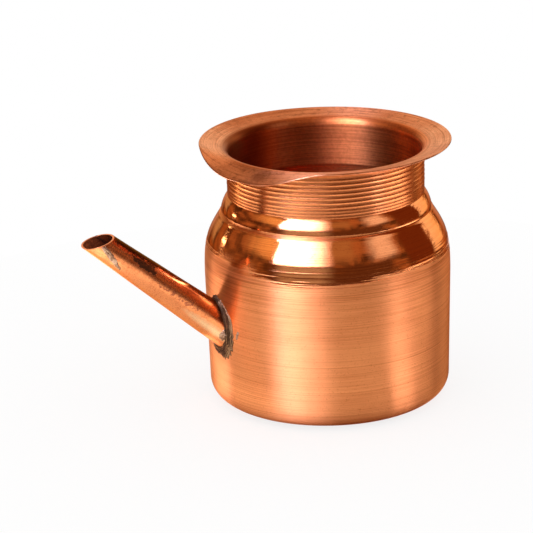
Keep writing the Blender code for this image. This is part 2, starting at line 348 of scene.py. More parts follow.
class NodeSheet:
    """A new material and short ways to lay nodes in it."""

    def __init__(self, name: str) -> None:
        """Start a material with its Principled shader."""
        self.material = bpy.data.materials.new(name)
        self.material.use_nodes = True
        self.tree = self.material.node_tree
        self.shader = self.tree.nodes["Principled BSDF"]

    def feed(self, socket: bpy.types.NodeSocket, value: Feed | tuple[float, ...]) -> None:
        """Link a socket to another, or set its own value; a colour gets its alpha here."""
        if isinstance(value, bpy.types.NodeSocket):
            self.tree.links.new(value, socket)
        else:
            socket.default_value = (*value, 1.0) if socket.type == "RGBA" else value

    def node(self, kind: str, feeds: dict[str | int, Feed | tuple[float, ...]],
             **settings: object) -> bpy.types.Node:
        """Add a node.

        Args:
            kind: Blender's name for the node type.
            feeds: Inputs by name or place, each a value or a socket.
            settings: Properties of the node.

        Returns:
            The node.
        """
        made = self.tree.nodes.new(kind)
        for key, value in settings.items():
            setattr(made, key, value)
        for key, value in feeds.items():
            self.feed(made.inputs[key], value)
        return made

    def math(self, operation: str, first: Feed, second: Feed = 0.0) -> Feed:
        """A number worked out from two others."""
        return self.node("ShaderNodeMath", {0: first, 1: second}, operation=operation).outputs[0]

    def times(self, first: Feed, second: Feed) -> Feed:
        """Product of two numbers."""
        return self.math("MULTIPLY", first, second)

    def total(self, *terms: tuple[Feed, float]) -> Feed:
        """Sum of numbers, each times its own weight."""
        first, *others = [self.times(value, weight) for value, weight in terms]
        for other in others:
            first = self.math("ADD", first, other)
        return first

    def mixed(self, first: Feed, second: Feed, share: float) -> Feed:
        """A share of the first number and the rest of the second."""
        return self.total((first, share), (second, 1.0 - share))

    def vector(self, operation: str, first: Feed, second: tuple[float, ...] = ()) -> bpy.types.Node:
        """A node of vector arithmetic."""
        feeds = {0: first, 1: second} if second else {0: first}
        return self.node("ShaderNodeVectorMath", feeds, operation=operation)

    def combined(self, x: Feed, y: Feed, z: Feed = 0.0) -> Feed:
        """A vector of three numbers."""
        return self.node("ShaderNodeCombineXYZ", {0: x, 1: y, 2: z}).outputs[0]

    def parts(self, vector: Feed) -> tuple[Feed, Feed, Feed]:
        """The three numbers of a vector."""
        return tuple(self.node("ShaderNodeSeparateXYZ", {0: vector}).outputs)

    def place(self) -> bpy.types.NodeSocket:
        """The place on the piece, in metres."""
        return self.node("ShaderNodeTexCoord", {}).outputs["Object"]

    def chart(self) -> tuple[Feed, Feed]:
        """The two coordinates of the piece's own UV map."""
        return self.parts(self.node("ShaderNodeUVMap", {}, uv_map=CHART).outputs[0])[:2]

    def height(self) -> Feed:
        """Height over the base, in millimetres."""
        return self.math("DIVIDE", self.parts(self.place())[2], MM)

    def radius(self) -> Feed:
        """Distance from the pot's middle line, in millimetres."""
        flat = self.vector("MULTIPLY", self.place(), (1.0, 1.0, 0.0)).outputs[0]
        return self.math("DIVIDE", self.vector("LENGTH", flat).outputs["Value"], MM)

    def towards(self, heading: float) -> Feed:
        """Cosine of the angle round the pot from a heading in degrees."""
        aim = (math.cos(math.radians(heading)), math.sin(math.radians(heading)), 0.0)
        ahead = self.vector("DOT_PRODUCT", self.place(), aim).outputs["Value"]
        return self.math("DIVIDE", self.math("DIVIDE", ahead, MM), self.radius())

    def noise(self, vector: Feed, scale: float = 1.0, detail: float = 3.0) -> Feed:
        """Fractal noise between 0 and 1."""
        feeds = {"Vector": vector, "Scale": scale, "Detail": detail, "Roughness": 0.55}
        return self.node("ShaderNodeTexNoise", feeds).outputs[0]

    def grain(self, size: float, detail: float = 3.0) -> Feed:
        """Noise in all directions, with features of a size in millimetres."""
        return self.noise(self.place(), 1.0 / (size * MM), detail)

    def lathe_marks(self, thickness: float, length: float, detail: float = 2.0) -> Feed:
        """Noise in rings about Z: thin over the profile and long round the pot.

        The third coordinate is height less radius, which grows along every part of the
        pot's profile, so walls, shoulder, rim and base all get their rings from it.

        Args:
            thickness: Breadth of a mark in millimetres.
            length: Run of a mark round the pot in millimetres.
            detail: Octaves of the noise.

        Returns:
            Noise between 0 and 1.
        """
        x, y, _ = self.parts(self.place())
        rise = self.math("SUBTRACT", self.height(), self.radius())
        vector = self.combined(self.math("DIVIDE", x, length * MM),
                               self.math("DIVIDE", y, length * MM),
                               self.math("DIVIDE", rise, thickness))
        return self.noise(vector, detail=detail)

    def step(self, value: Feed, low: float, high: float, first: float = 0.0,
             last: float = 1.0) -> Feed:
        """Ease from a first to a last number while a value goes from low to high."""
        feeds = {0: value, 1: low, 2: high, 3: first, 4: last}
        return self.node("ShaderNodeMapRange", feeds, interpolation_type="SMOOTHSTEP").outputs[0]

    def swing(self, value: Feed, levels: Span, times: Span, middle: float) -> Feed:
        """Ease between two multiples of a middle number, over two levels of a value."""
        return self.step(value, *levels, times[0] * middle, times[1] * middle)

    def between(self, value: Feed, rising: Span, falling: Span) -> Feed:
        """1 between two eased edges, each given as where it is 0 and where it is 1."""
        return self.times(self.step(value, *rising), self.step(value, *falling))

    def blend(self, share: Feed, first: Feed | Colour, second: Feed | Colour) -> Feed:
        """A colour between two others."""
        feeds = {6: first, 7: second, 0: share}
        return self.node("ShaderNodeMix", feeds, data_type="RGBA").outputs[2]

    def relief(self, *layers: tuple[Feed, float]) -> Feed:
        """A bumped normal from layers of height.

        Args:
            layers: Pairs of a height from 0 to 1 and its depth in millimetres.

        Returns:
            The normal.
        """
        height = self.total(*[(layer, depth * MM) for layer, depth in layers])
        feeds = {"Strength": 1.0, "Distance": 1.0, "Height": height}
        return self.node("ShaderNodeBump", feeds).outputs[0]

    def seen(self) -> Feed:
        """1 for rays from the camera, in reflections and through glass, and 0 for light."""
        path = self.node("ShaderNodeLightPath", {}).outputs
        straight = self.math("MAXIMUM", path["Is Camera Ray"], path["Is Glossy Ray"])
        return self.math("MAXIMUM", straight, path["Is Transmission Ray"])

    def glow(self, colour: Feed | Colour) -> Feed:
        """A shader that gives off a colour."""
        return self.node("ShaderNodeEmission", {"Color": colour, "Strength": 1.0}).outputs[0]

    def either(self, share: Feed, first: Feed, second: Feed) -> Feed:
        """A shader between two others."""
        return self.node("ShaderNodeMixShader", {0: share, 1: first, 2: second}).outputs[0]

    def brush_round(self, amount: float) -> None:
        """Stretch the gloss across rings that run round the pot along the chart's u."""
        tangent = self.node("ShaderNodeTangent", {}, direction_type="UV_MAP", uv_map=CHART)
        self.feed(self.shader.inputs["Tangent"], tangent.outputs[0])
        self.feed(self.shader.inputs["Anisotropic"], amount)
        self.feed(self.shader.inputs["Anisotropic Rotation"], QUARTER)

    def metal(self, edge: Colour, colour: Feed, roughness: Feed, normal: Feed,
              metallic: Feed = 1.0) -> Finish:
        """Feed the Principled shader and give back the material.

        Args:
            edge: Colour where the metal is seen at a low angle.
            colour: Colour elsewhere.
            roughness: Roughness.
            normal: Bumped normal.
            metallic: How metallic it is.

        Returns:
            The material.
        """
        for name, value in (("Specular Tint", edge), ("Base Color", colour),
                            ("Roughness", roughness), ("Normal", normal), ("Metallic", metallic)):
            self.feed(self.shader.inputs[name], value)
        return self.material

    def plain(self, shader: Feed) -> Finish:
        """Show a shader in the Principled one's place and give back the material."""
        self.feed(self.tree.nodes["Material Output"].inputs[0], shader)
        self.tree.nodes.remove(self.shader)
        return self.material


@dataclass(frozen=True)
class Patches:
    """Noise in all directions, cut between two levels into patches.

    Attributes:
        size: Size of a patch in millimetres.
        detail: Octaves of the noise.
        levels: Noise where a patch starts and where it is full.
        share: Weight of the patches beside other layers.
    """

    size: float
    detail: float
    levels: Span
    share: float = 1.0

    def lay(self, sheet: NodeSheet) -> Feed:
        """The patches, from 0 to 1."""
        return sheet.step(sheet.grain(self.size, self.detail), *self.levels)


@dataclass(frozen=True)
class LatheCopper:
    """Copper turned on a lathe: satin, with rings of fine marks.

    Sizes are in millimetres. Levels are the noise where a thing starts and where it is full.

    Attributes:
        name: Name of the material.
        clean: Colour of bright metal.
        aged: Colour where the metal has dulled.
        dulled: How far the colour goes towards the aged one.
        clouded: Share of that which lies in clouds; the rest lies in marks.
        roughness: Middle roughness.
        mark, mark_length, mark_depth: Breadth, run and depth of a mark.
        brushing: Stretch of the gloss across the marks.
        edge: Colour at a low angle.
        clouds, specks: Dull clouds and specks.
        band: Breadth and run of the tool's bands, times those of a mark.
        streak, streak_levels: Share of marks in the dull streaks; the rest is bands.
        hair, hair_levels: Breadth and run of hair scratches, times those of a mark.
        hair_share: Weight of the hair scratches.
        swing, swing_levels: Share of marks in the roughness; the rest is bands.
        swing_range: Least and greatest roughness, times the middle one.
    """

    name: str
    clean: Colour = (0.96, 0.35, 0.122)
    aged: Colour = (0.64, 0.165, 0.046)
    dulled: float = 0.45
    clouded: float = 0.3
    roughness: float = 0.45
    mark: float = 0.24
    mark_length: float = 15.0
    mark_depth: float = 0.0035
    brushing: float = 1.0
    edge: Colour = (1.0, 0.62, 0.42)
    clouds: Patches = Patches(12.0, 4.0, (0.36, 0.72))
    specks: Patches = Patches(0.6, 1.0, (0.6, 0.74), 0.7)
    band: Span = (5.0, 2.0)
    streak: float = 0.9
    streak_levels: Span = (0.4, 0.66)
    hair: Span = (0.7, 2.2)
    hair_levels: Span = (0.62, 0.7)
    hair_share: float = 0.65
    swing: float = 0.85
    swing_levels: Span = (0.3, 0.7)
    swing_range: Span = (0.88, 1.12)

    def marked(self, sheet: NodeSheet, times: Span, detail: float) -> Feed:
        """Marks whose breadth and run are multiples of the usual ones."""
        return sheet.lathe_marks(times[0] * self.mark, times[1] * self.mark_length, detail)

    def marks(self, sheet: NodeSheet) -> tuple[Feed, Feed]:
        """Fine marks and broader bands of the lathe tool."""
        return self.marked(sheet, (1.0, 1.0), 3.0), self.marked(sheet, self.band, 2.0)

    def colour(self, sheet: NodeSheet, fine: Feed, broad: Feed) -> Feed:
        """Bright metal that dulls in clouds, streaks, hair scratches and specks."""
        streaks = sheet.step(sheet.mixed(fine, broad, self.streak), *self.streak_levels)
        hairs = sheet.step(self.marked(sheet, self.hair, 1.0), *self.hair_levels)
        share = sheet.total((self.clouds.lay(sheet), self.clouded * self.dulled),
                            (streaks, (1.0 - self.clouded) * self.dulled),
                            (hairs, self.hair_share * self.dulled),
                            (self.specks.lay(sheet), self.specks.share * self.dulled))
        return sheet.blend(share, self.clean, self.aged)

    def gloss(self, sheet: NodeSheet, fine: Feed, broad: Feed) -> Feed:
        """Roughness that follows the marks."""
        return sheet.swing(sheet.mixed(fine, broad, self.swing), self.swing_levels,
                           self.swing_range, self.roughness)

    def material(self) -> Finish:
        """Lay the nodes."""
        sheet = NodeSheet(self.name)
        fine, broad = self.marks(sheet)
        normal = sheet.relief((fine, self.mark_depth), (broad, self.mark_depth))
        sheet.brush_round(self.brushing)
        return sheet.metal(self.edge, self.colour(sheet, fine, broad),
                           self.gloss(sheet, fine, broad), normal)


@dataclass(frozen=True)
class SkinCopper(LatheCopper):
    """The vessel's outside: a brushed wall under a polished shoulder and bead.

    Heights, widths and depths are in millimetres, sides are headings in degrees, and
    their spans are cosines of the angle from the heading.

    Attributes:
        polish_height: Height where the polish starts.
        polish_edge: Half the height over which it sets in at one place.
        polish_fade: How far its streaky start runs.
        polish_dip: How much lower the polish starts in front.
        polish_climb: How much higher it starts beyond the spout.
        polish_roughness, polish_levels, polish_range: Roughness of the polish and its swing.
        rings, ring_depth: Breadth and run, and depth, of rings about the polish's start.
        ring_rise, ring_fall: Heights between which they come and go.
        ring_shares: How deep they are about the start, and all over the polish.
        stripes, stripe_rise, stripe_fall: Dark colour of the rings, and its heights.
        dimple, dimple_depth: Breadth and depth of the polish's small dimples.
        film: Share of the brushed wall that is a dull film and not bare metal.
        front, front_span: Side where the polish dips.
        far_side, far_span: Side where it climbs.
        rubbed_side: Side that cloths have dulled.
        smear_span, smear_gloss: How far the rub goes there, and its roughness.
        crease_height: Height of the crease over the shoulder.
        crease_reach: Distances from the crease where its rub ends and is full.
        crease_span, crease_gloss: How far that rub goes round, and its roughness.
    """

    polish_height: float = 57.6
    polish_edge: float = 0.5
    polish_fade: float = 7.0
    polish_dip: float = 1.4
    polish_climb: float = 3.0
    polish_roughness: float = 0.09
    polish_levels: Span = (0.38, 0.62)
    polish_range: Span = (0.45, 1.3)
    rings: Span = (0.6, 40.0)
    ring_depth: float = 0.028
    ring_rise: Span = (52.0, 57.0)
    ring_fall: Span = (66.0, 59.0)
    ring_shares: Span = (0.8, 0.35)
    stripe_rise: Span = (40.0, 54.0)
    stripe_fall: Span = (67.0, 60.0)
    stripes: Ease = (0.49, 0.6, 0.0, 0.7)
    dimple: float = 5.0
    dimple_depth: float = 0.05
    film: float = 0.12
    front: float = 240.0
    front_span: Span = (0.89, 0.975)
    far_side: float = 148.6
    far_span: Span = (0.55, 0.97)
    rubbed_side: float = 194.0
    smear_span: Span = (0.955, 0.99)
    smear_gloss: float = 0.24
    crease_height: float = 71.9
    crease_reach: Span = (1.15, 0.5)
    crease_span: Span = (0.1, 0.75)
    crease_gloss: float = 0.36

    def polish(self, sheet: NodeSheet, height: Feed, fine: Feed, rings: Feed) -> Feed:
        """1 where the skin is polished: over a level that streaks, dips and climbs."""
        front = sheet.step(sheet.towards(self.front), *self.front_span)
        far = sheet.step(sheet.towards(self.far_side), *self.far_span)
        level = sheet.total((height, 1.0), (fine, self.polish_fade), (rings, self.polish_fade),
                            (1.0, -self.polish_fade), (front, self.polish_dip),
                            (far, -self.polish_climb))
        return sheet.step(level, self.polish_height - self.polish_edge,
                          self.polish_height + self.polish_edge)

    def material(self) -> Finish:
        """Lay the nodes."""
        sheet = NodeSheet(self.name)
        fine, broad = self.marks(sheet)
        rings = sheet.lathe_marks(*self.rings, 3.0)
        height = sheet.height()
        polish = self.polish(sheet, height, fine, rings)
        brushed = sheet.math("SUBTRACT", 1.0, polish)
        bright = sheet.swing(sheet.mixed(fine, rings, 0.5), self.polish_levels,
                             self.polish_range, self.polish_roughness)
        near = sheet.between(height, self.ring_rise, self.ring_fall)
        rubbed = sheet.towards(self.rubbed_side)
        smear = sheet.times(near, sheet.step(rubbed, *self.smear_span))
        off = sheet.math("ABSOLUTE", sheet.math("SUBTRACT", height, self.crease_height))
        crest = sheet.times(sheet.step(off, *self.crease_reach),
                            sheet.step(rubbed, *self.crease_span))
        gloss = sheet.total((sheet.times(self.gloss(sheet, fine, broad), brushed), 1.0),
                            (sheet.times(bright, polish), 1.0),
                            (smear, self.smear_gloss), (crest, self.crease_gloss))
        worn = sheet.total((near, self.ring_shares[0]), (polish, self.ring_shares[1]))
        stripes = sheet.times(sheet.between(height, self.stripe_rise, self.stripe_fall),
                              sheet.step(rings, *self.stripes))
        colour = sheet.blend(stripes, self.colour(sheet, fine, broad), self.aged)
        dimples = sheet.times(sheet.grain(self.dimple, 4.0), polish)
        normal = sheet.relief((sheet.times(fine, brushed), self.mark_depth),
                              (sheet.times(broad, brushed), self.mark_depth),
                              (sheet.times(rings, worn), self.ring_depth),
                              (dimples, self.dimple_depth))
        sheet.brush_round(self.brushing)
        bare = sheet.total((brushed, -self.film), (1.0, 1.0))
        return sheet.metal(self.edge, colour, gloss, normal, bare)


@dataclass(frozen=True)
class MouthCopper(LatheCopper):
    """The rim and the inside: scratched satin on the rim, tarnished rings below it.

    Sizes and places are in millimetres.

    Attributes:
        deep, tarnish: Colours of the inside between its dark rings and on them.
        rings: Breadth and run of those rings.
        ring_weights, ring_grain: Weights of rings, marks and grain in the tarnish.
        ring_levels: Sum of the three where the tarnish starts and where it is full.
        painted_inner_shade, painted_inner_shade_side: Colour and heading in degrees of the painted
        shade that darkens one side of the inside.
        painted_inner_shade_ease: How it sets in over the cosine of the angle from that heading.
        scratch: Colour of scratches and mottling on the rim.
        thin, thin_ease: Breadth and run of thin scratches, and how they set in.
        mottle, mottle_ease: Size of the mottling, and how it sets in.
        mottle_mix: Share of the mottling's own noise; the rest is marks.
        smudge, smudge_size: Middle and reach of the dark smudge on the lip.
        smudge_grain: Size and weight of the noise that frays it.
        smudge_ease: How it sets in, in reaches from its middle.
        inner_metal: How metallic the tarnished inside is.
        inner_gloss: How much rougher the inside is than the rim.
        inner_marks: Depth of the fine marks, times the usual one.
        rim_radii: Radii between which the inside's finish turns into the rim's.
        rim_heights: Heights under which nothing counts as rim.
    """

    deep: Colour = (0.78, 0.222, 0.065)
    tarnish: Colour = (0.47, 0.117, 0.031)
    rings: Span = (0.75, 120.0)
    ring_weights: tuple[float, float, float] = (0.42, 0.36, 0.22)
    ring_grain: float = 1.1
    ring_levels: Span = (0.38, 0.6)
    # Painted shade: a dark colour laid over one side of the inside, by heading.
    painted_inner_shade: Colour = (0.2, 0.03, 0.006)
    painted_inner_shade_side: float = 135.0
    painted_inner_shade_ease: Ease = (0.64, 0.9, 0.0, 0.78)
    scratch: Colour = (0.36, 0.12, 0.05)
    thin: Span = (0.16, 34.0)
    thin_ease: Ease = (0.58, 0.7, 0.0, 0.85)
    mottle: float = 2.4
    mottle_ease: Ease = (0.49, 0.65, 0.0, 0.68)
    mottle_mix: float = 0.65
    smudge: tuple[float, float, float] = (-36.8, -21.3, 93.6)
    smudge_size: float = 5.0
    smudge_grain: Span = (2.5, 1.2)
    smudge_ease: Ease = (1.5, 0.9, 0.0, 0.7)
    inner_metal: float = 0.97
    inner_gloss: float = 0.08
    inner_marks: float = 0.6
    rim_radii: Span = (36.9, 40.0)
    rim_heights: Span = (84.0, 88.0)

    def rim_share(self, sheet: NodeSheet) -> Feed:
        """1 on the rim and 0 inside the pot."""
        return sheet.times(sheet.step(sheet.radius(), *self.rim_radii),
                           sheet.step(sheet.height(), *self.rim_heights))

    def rim_colour(self, sheet: NodeSheet, fine: Feed, broad: Feed) -> Feed:
        """Satin metal with thin scratches round it and a smudge on the lip."""
        thin = sheet.step(sheet.lathe_marks(*self.thin, 1.0), *self.thin_ease)
        mottle = sheet.step(sheet.mixed(sheet.grain(self.mottle, 5.0), fine, self.mottle_mix),
                            *self.mottle_ease)
        scratched = sheet.blend(sheet.math("MAXIMUM", thin, mottle),
                                self.colour(sheet, fine, broad), self.scratch)
        middle = tuple(MM * part for part in self.smudge)
        away = sheet.vector("DISTANCE", sheet.place(), middle).outputs["Value"]
        size, weight = self.smudge_grain
        frayed = sheet.total((away, 1.0 / (self.smudge_size * MM)),
                             (sheet.grain(size, 4.0), weight))
        return sheet.blend(sheet.step(frayed, *self.smudge_ease), scratched, self.scratch)

    def material(self) -> Finish:
        """Lay the nodes."""
        sheet = NodeSheet(self.name)
        fine, broad = self.marks(sheet)
        rings = sheet.lathe_marks(*self.rings, 3.0)
        layers = (rings, fine, sheet.grain(self.ring_grain, 4.0))
        dark = sheet.step(sheet.total(*zip(layers, self.ring_weights)), *self.ring_levels)
        # Painted shade on one side of the inside, blended over the tarnished rings.
        painted_inner_shade = sheet.step(sheet.towards(self.painted_inner_shade_side), *self.painted_inner_shade_ease)
        inside = sheet.blend(painted_inner_shade, sheet.blend(dark, self.deep, self.tarnish), self.painted_inner_shade)
        rim = self.rim_share(sheet)
        colour = sheet.blend(rim, inside, self.rim_colour(sheet, fine, broad))
        normal = sheet.relief((fine, self.inner_marks * self.mark_depth),
                              (rings, self.mark_depth))
        sheet.brush_round(self.brushing)
        bare = sheet.total((rim, 1.0 - self.inner_metal), (self.inner_metal, 1.0))
        rougher = sheet.total((rim, -self.inner_gloss), (1.0 + self.inner_gloss, 1.0))
        gloss = sheet.times(self.gloss(sheet, fine, broad), rougher)
        return sheet.metal(self.edge, colour, gloss, normal, bare)


@dataclass(frozen=True)
class Stain:
    """A mottled patch of colour on the spout, in its own chart.

    Attributes:
        middle: Millimetres from the wall, and degrees round the tube from its top.
        size: Half length in millimetres and half width in degrees.
        colour: Colour of the patch.
        strength: How far the colour covers the copper.
        dull: Roughness of the patch.
        mottle: Size of its mottling in millimetres.
        ragged: How far the mottling breaks the patch up.
        bare: How much of the patch stays bare between its specks.
        levels: Where the patch ends and where it is full, over its oval.
    """

    middle: Span
    size: Span
    colour: Colour
    strength: float
    dull: float
    mottle: float
    ragged: float
    bare: float = 0.0
    levels: Span = (0.62, 0.3)

    def mask(self, sheet: NodeSheet, along: Feed, round_: Feed) -> Feed:
        """Share of the stain: a soft oval broken up by noise.

        Args:
            sheet: Sheet that takes the nodes.
            along: Distance from the wall, in units of the tube's chart.
            round_: Angle round the tube, in turns.

        Returns:
            Share from 0 to the strength.
        """
        far, side = (sheet.total((place, unit / size), (-middle / size, 1.0))
                     for place, unit, size, middle in zip((along, round_), (TUBE_UNIT, 360.0),
                                                          self.size, self.middle))
        oval = sheet.math("ADD", sheet.times(far, far), sheet.times(side, side))
        level = sheet.total((oval, 0.5), (sheet.grain(self.mottle, 6.0), -self.ragged),
                            (0.5 * self.ragged + self.bare, 1.0))
        return sheet.step(level, *self.levels, 0.0, self.strength)


@dataclass(frozen=True)
class SpoutCopper(LatheCopper):
    """Rolled copper that was heated at the solder: tinted, stained and scuffed.

    Attributes:
        stains: Patches of tint, laid one over the other.
        scuffs: Small scuffs.
        scuff_depth: Depth of a scuff in millimetres.
        cloud_depth: Depth of the clouds in millimetres.
    """

    clouds: Patches = Patches(5.0, 4.0, (0.36, 0.7), 0.6)
    specks: Patches = Patches(0.6, 2.0, (0.56, 0.7), 0.95)
    swing: float = 0.6
    swing_levels: Span = (0.35, 0.65)
    swing_range: Span = (0.8, 1.25)
    stains: tuple[Stain, ...] = ()
    scuffs: Patches = Patches(0.8, 3.0, (0.45, 0.68), 0.55)
    scuff_depth: float = 0.0012
    cloud_depth: float = 0.012

    def material(self) -> Finish:
        """Lay the nodes."""
        sheet = NodeSheet(self.name)
        along, round_ = sheet.chart()
        scuff = sheet.grain(self.scuffs.size, self.scuffs.detail)
        cloud = sheet.grain(self.clouds.size, self.clouds.detail)
        share = sheet.total(
            (sheet.step(cloud, *self.clouds.levels), self.clouds.share * self.dulled),
            (sheet.step(scuff, *self.scuffs.levels), self.scuffs.share * self.dulled),
            (self.specks.lay(sheet), self.specks.share * self.dulled))
        colour = sheet.blend(share, self.clean, self.aged)
        gloss = self.gloss(sheet, cloud, scuff)
        for stain in self.stains:
            mask = stain.mask(sheet, along, round_)
            colour = sheet.blend(mask, colour, stain.colour)
            dull = sheet.math("SUBTRACT", stain.dull, gloss)
            gloss = sheet.math("ADD", gloss, sheet.times(mask, dull))
        normal = sheet.relief((scuff, self.scuff_depth), (cloud, self.cloud_depth))
        return sheet.metal(self.edge, colour, gloss, normal)


@dataclass(frozen=True)
class Solder:
    """Soft solder: dull, lumpy, sooty in the hollows and paler where it was wiped.

    Attributes:
        name: Name of the material.
        soot: Colour in the hollows.
        wiped: Colour of the bare metal.
        edge: Colour at a low angle.
        bare: Share of the surface that is bare.
        roughness: Middle roughness.
        metallic: How metallic the surface is.
        streaks: Streaks across and along the chart, or None for plain lumps.
        lump, lump_depth: Size and depth of a lump in millimetres.
        fleck, fleck_depth: Size and depth of a fleck in millimetres.
        lump_mix: Share of lumps in the mottling; the rest is flecks.
        foot: How the mottling shifts across a streaked chart.
        bare_slope: How far the share that is bare moves the mottling's middle.
        bare_levels: Mottling where soot ends and bare metal is full, from its middle.
        swing_levels, swing_range: Mottling, and times the roughness, at both ends of its swing.
    """

    name: str
    soot: Colour = (0.05, 0.027, 0.015)
    wiped: Colour = (0.31, 0.185, 0.105)
    edge: Colour = (0.42, 0.28, 0.18)
    bare: float = 0.38
    roughness: float = 0.5
    metallic: float = 1.0
    streaks: Span | None = None
    lump: float = 1.6
    lump_depth: float = 0.1
    fleck: float = 0.45
    fleck_depth: float = 0.03
    lump_mix: float = 0.75
    foot: Ease = (0.02, 0.3, 0.03, -0.04)
    bare_slope: float = 0.3
    bare_levels: Span = (-0.1, 0.12)
    swing_levels: Span = (0.35, 0.65)
    swing_range: Span = (1.25, 0.75)

    def lumps(self, sheet: NodeSheet) -> Feed:
        """Lumps, drawn out into streaks where the solder was wiped one way."""
        if self.streaks is None:
            return sheet.grain(self.lump, 4.0)
        round_, across = sheet.chart()
        turn = sheet.times(round_, FULL_TURN)
        span = self.streaks[0] / FULL_TURN
        vector = sheet.combined(sheet.times(sheet.math("COSINE", turn), span),
                                sheet.times(sheet.math("SINE", turn), span),
                                sheet.times(across, self.streaks[1]))
        return sheet.noise(vector, detail=4.0)

    def material(self) -> Finish:
        """Lay the nodes."""
        sheet = NodeSheet(self.name)
        lump = self.lumps(sheet)
        fleck = sheet.grain(self.fleck, 3.0)
        mottle = sheet.mixed(lump, fleck, self.lump_mix)
        if self.streaks is not None:
            mottle = sheet.math("ADD", mottle, sheet.step(sheet.chart()[1], *self.foot))
        middle = 0.5 + self.bare_slope * (0.5 - self.bare)
        share = sheet.step(mottle, *[middle + level for level in self.bare_levels])
        colour = sheet.blend(share, self.soot, self.wiped)
        gloss = sheet.swing(mottle, self.swing_levels, self.swing_range, self.roughness)
        normal = sheet.relief((lump, self.lump_depth), (fleck, self.fleck_depth))
        return sheet.metal(self.edge, colour, gloss, normal, self.metallic)


# The vessel


@dataclass(frozen=True)
class Vessel:
    """The spun pot: side, shoulder, bead, ridged neck, flared rim and pressed lip.

    Sizes are outer ones in millimetres and degrees, as in the part's source. Below them
    are the fine marks that only this model has, and the rows of points of each part.
    """

    body_radius: float = 46.0
    wall_flare: float = 0.8
    wall_height: float = 48.0
    base_corner: float = 7.2
    shoulder_height: float = 23.9
    shoulder_inset: float = 6.7
    shoulder_slope: float = 33.0
    shoulder_rise: float = 13.4
    shoulder_lean: float = 10.0
    bead_height: float = 6.3
    bead_inset: float = 2.7
    bead_bulge: float = 0.5
    neck_height: float = 15.2
    ridge_count: int = 10
    ridge_height: float = 0.15
    ridge_crest: float = 0.27
    flare_radius: float = 2.4
    rim_width: float = 9.8
    rim_slope: float = 12.0
    sheet: float = 0.8
    edge_sheet: float = 0.6
    lip_heading: float = 201.6
    lip_half_span: float = 42.0
    lip_half_flat: float = 7.0
    lip_press: float = 36.0

    fine_ridges: int = 3
    fine_pitch: float = 1.15
    fine_share: float = 0.3
    ridge_mean: float = 0.86
    ridge_swing: float = 0.14
    ridge_beat: float = 2.4
    ridge_phase: float = 0.9
    inner_ridges: float = 0.08
    groove_depth: float = 0.17
    groove_width: float = 0.5
    groove_offset: float = 0.25
    roll_share: float = 0.7
    roll_offset: float = -0.9
    ring_depth: float = 0.013
    ring_pitches: tuple[float, ...] = (1.05, 1.37, 1.9, 2.7, 4.1)
    ring_phase: float = 2.3
    ring_heights: Span = (52.5, 64.5)
    ring_fade: float = 4.0
    rim_dish: float = 0.12
    rim_in_and_out: Ripple = Ripple(0.18, (3, 5, 8), 11)
    rim_up_and_down: Ripple = Ripple(0.22, (2, 3, 7), 12)

    columns: int = 256
    first_ring: float = 4.0
    base_rows: int = 5
    corner_rows: int = 15
    wall_rows: int = 22
    shoulder_rows: tuple[int, int, int] = (5, 49, 17)
    curve_points: int = 2001
    inner_step: int = 4
    bead_rows: int = 19
    ridge_rows: int = 8
    flare_rows: int = 13
    rim_rows: int = 11
    edge_rows: int = 7

    @property
    def crease(self) -> Grid:
        """Where the shoulder meets the bead, as (radius, height)."""
        return np.array([self.body_radius - self.shoulder_inset,
                         self.wall_height + self.shoulder_height])

    @property
    def neck_foot(self) -> Grid:
        """Where the bead meets the neck, as (radius, height)."""
        return self.crease + np.array([-self.bead_inset, self.bead_height])

    @property
    def flare_centre(self) -> Grid:
        """Middle of the arc that turns the neck out into the rim."""
        return self.neck_foot + np.array([self.flare_radius, self.neck_height])

    def base_and_wall(self) -> Grid:
        """Flat base, quarter circle at its corner and straight flaring wall."""
        foot = self.body_radius - self.wall_flare
        flat = np.linspace(self.first_ring, foot - self.base_corner, self.base_rows)[:-1]
        corner = arc((foot - self.base_corner, self.base_corner), self.base_corner, -90.0, 0.0,
                     self.corner_rows)
        share = eased(self.wall_rows)[1:, None]
        top = np.array([self.body_radius, self.wall_height])
        wall = corner[-1] * (1.0 - share) + top * share
        return np.concatenate([paired(flat, 0.0), corner, wall])

    def shoulder(self) -> Grid:
        """Cubic curve that leaves the wall upright and ends at the shoulder's slope."""
        slope = math.radians(self.shoulder_slope)
        lean = self.shoulder_lean * np.array([math.sin(slope), -math.cos(slope)])
        first = np.array([self.body_radius, self.wall_height])
        second = first + np.array([0.0, self.shoulder_rise])
        third = self.crease + lean
        t = np.linspace(0.0, 1.0, self.curve_points)[:, None]
        u = 1.0 - t
        curve = first * u**3 + second * 3 * u**2 * t + third * 3 * u * t**2 + self.crease * t**3
        low, high = self.ring_heights
        below, across, above = self.shoulder_rows
        top = high + (self.crease[1] - high) * np.sin(np.linspace(0.0, math.pi / 2, above))
        levels = np.concatenate([np.linspace(self.wall_height, low, below)[1:],
                                 np.linspace(low, high, across)[1:], top[1:]])
        return paired(np.interp(levels, curve[:, 1], curve[:, 0]), levels)

    def rings(self, height: Grid) -> Grid:
        """Turning rings: cosine waves over the height, faded in and out about the polish."""
        low, high = self.ring_heights
        phases = self.ring_phase * np.arange(len(self.ring_pitches)) ** 2
        waves = np.cos(FULL_TURN * height[:, None] / np.array(self.ring_pitches) + phases)
        fade = smooth_step((height - low) / self.ring_fade)
        fade = fade * smooth_step((high - height) / self.ring_fade)
        return self.ring_depth * waves.sum(axis=1) * fade

    def bead(self) -> Grid:
        """Arc over the chord from crease to neck that stands out by the bulge."""
        share = eased(self.bead_rows)[1:, None]
        chord = self.neck_foot - self.crease
        out = np.array([chord[1], -chord[0]]) / np.linalg.norm(chord)
        line = self.crease + chord * share
        return line + out * self.bead_bulge * 4.0 * share * (1.0 - share)

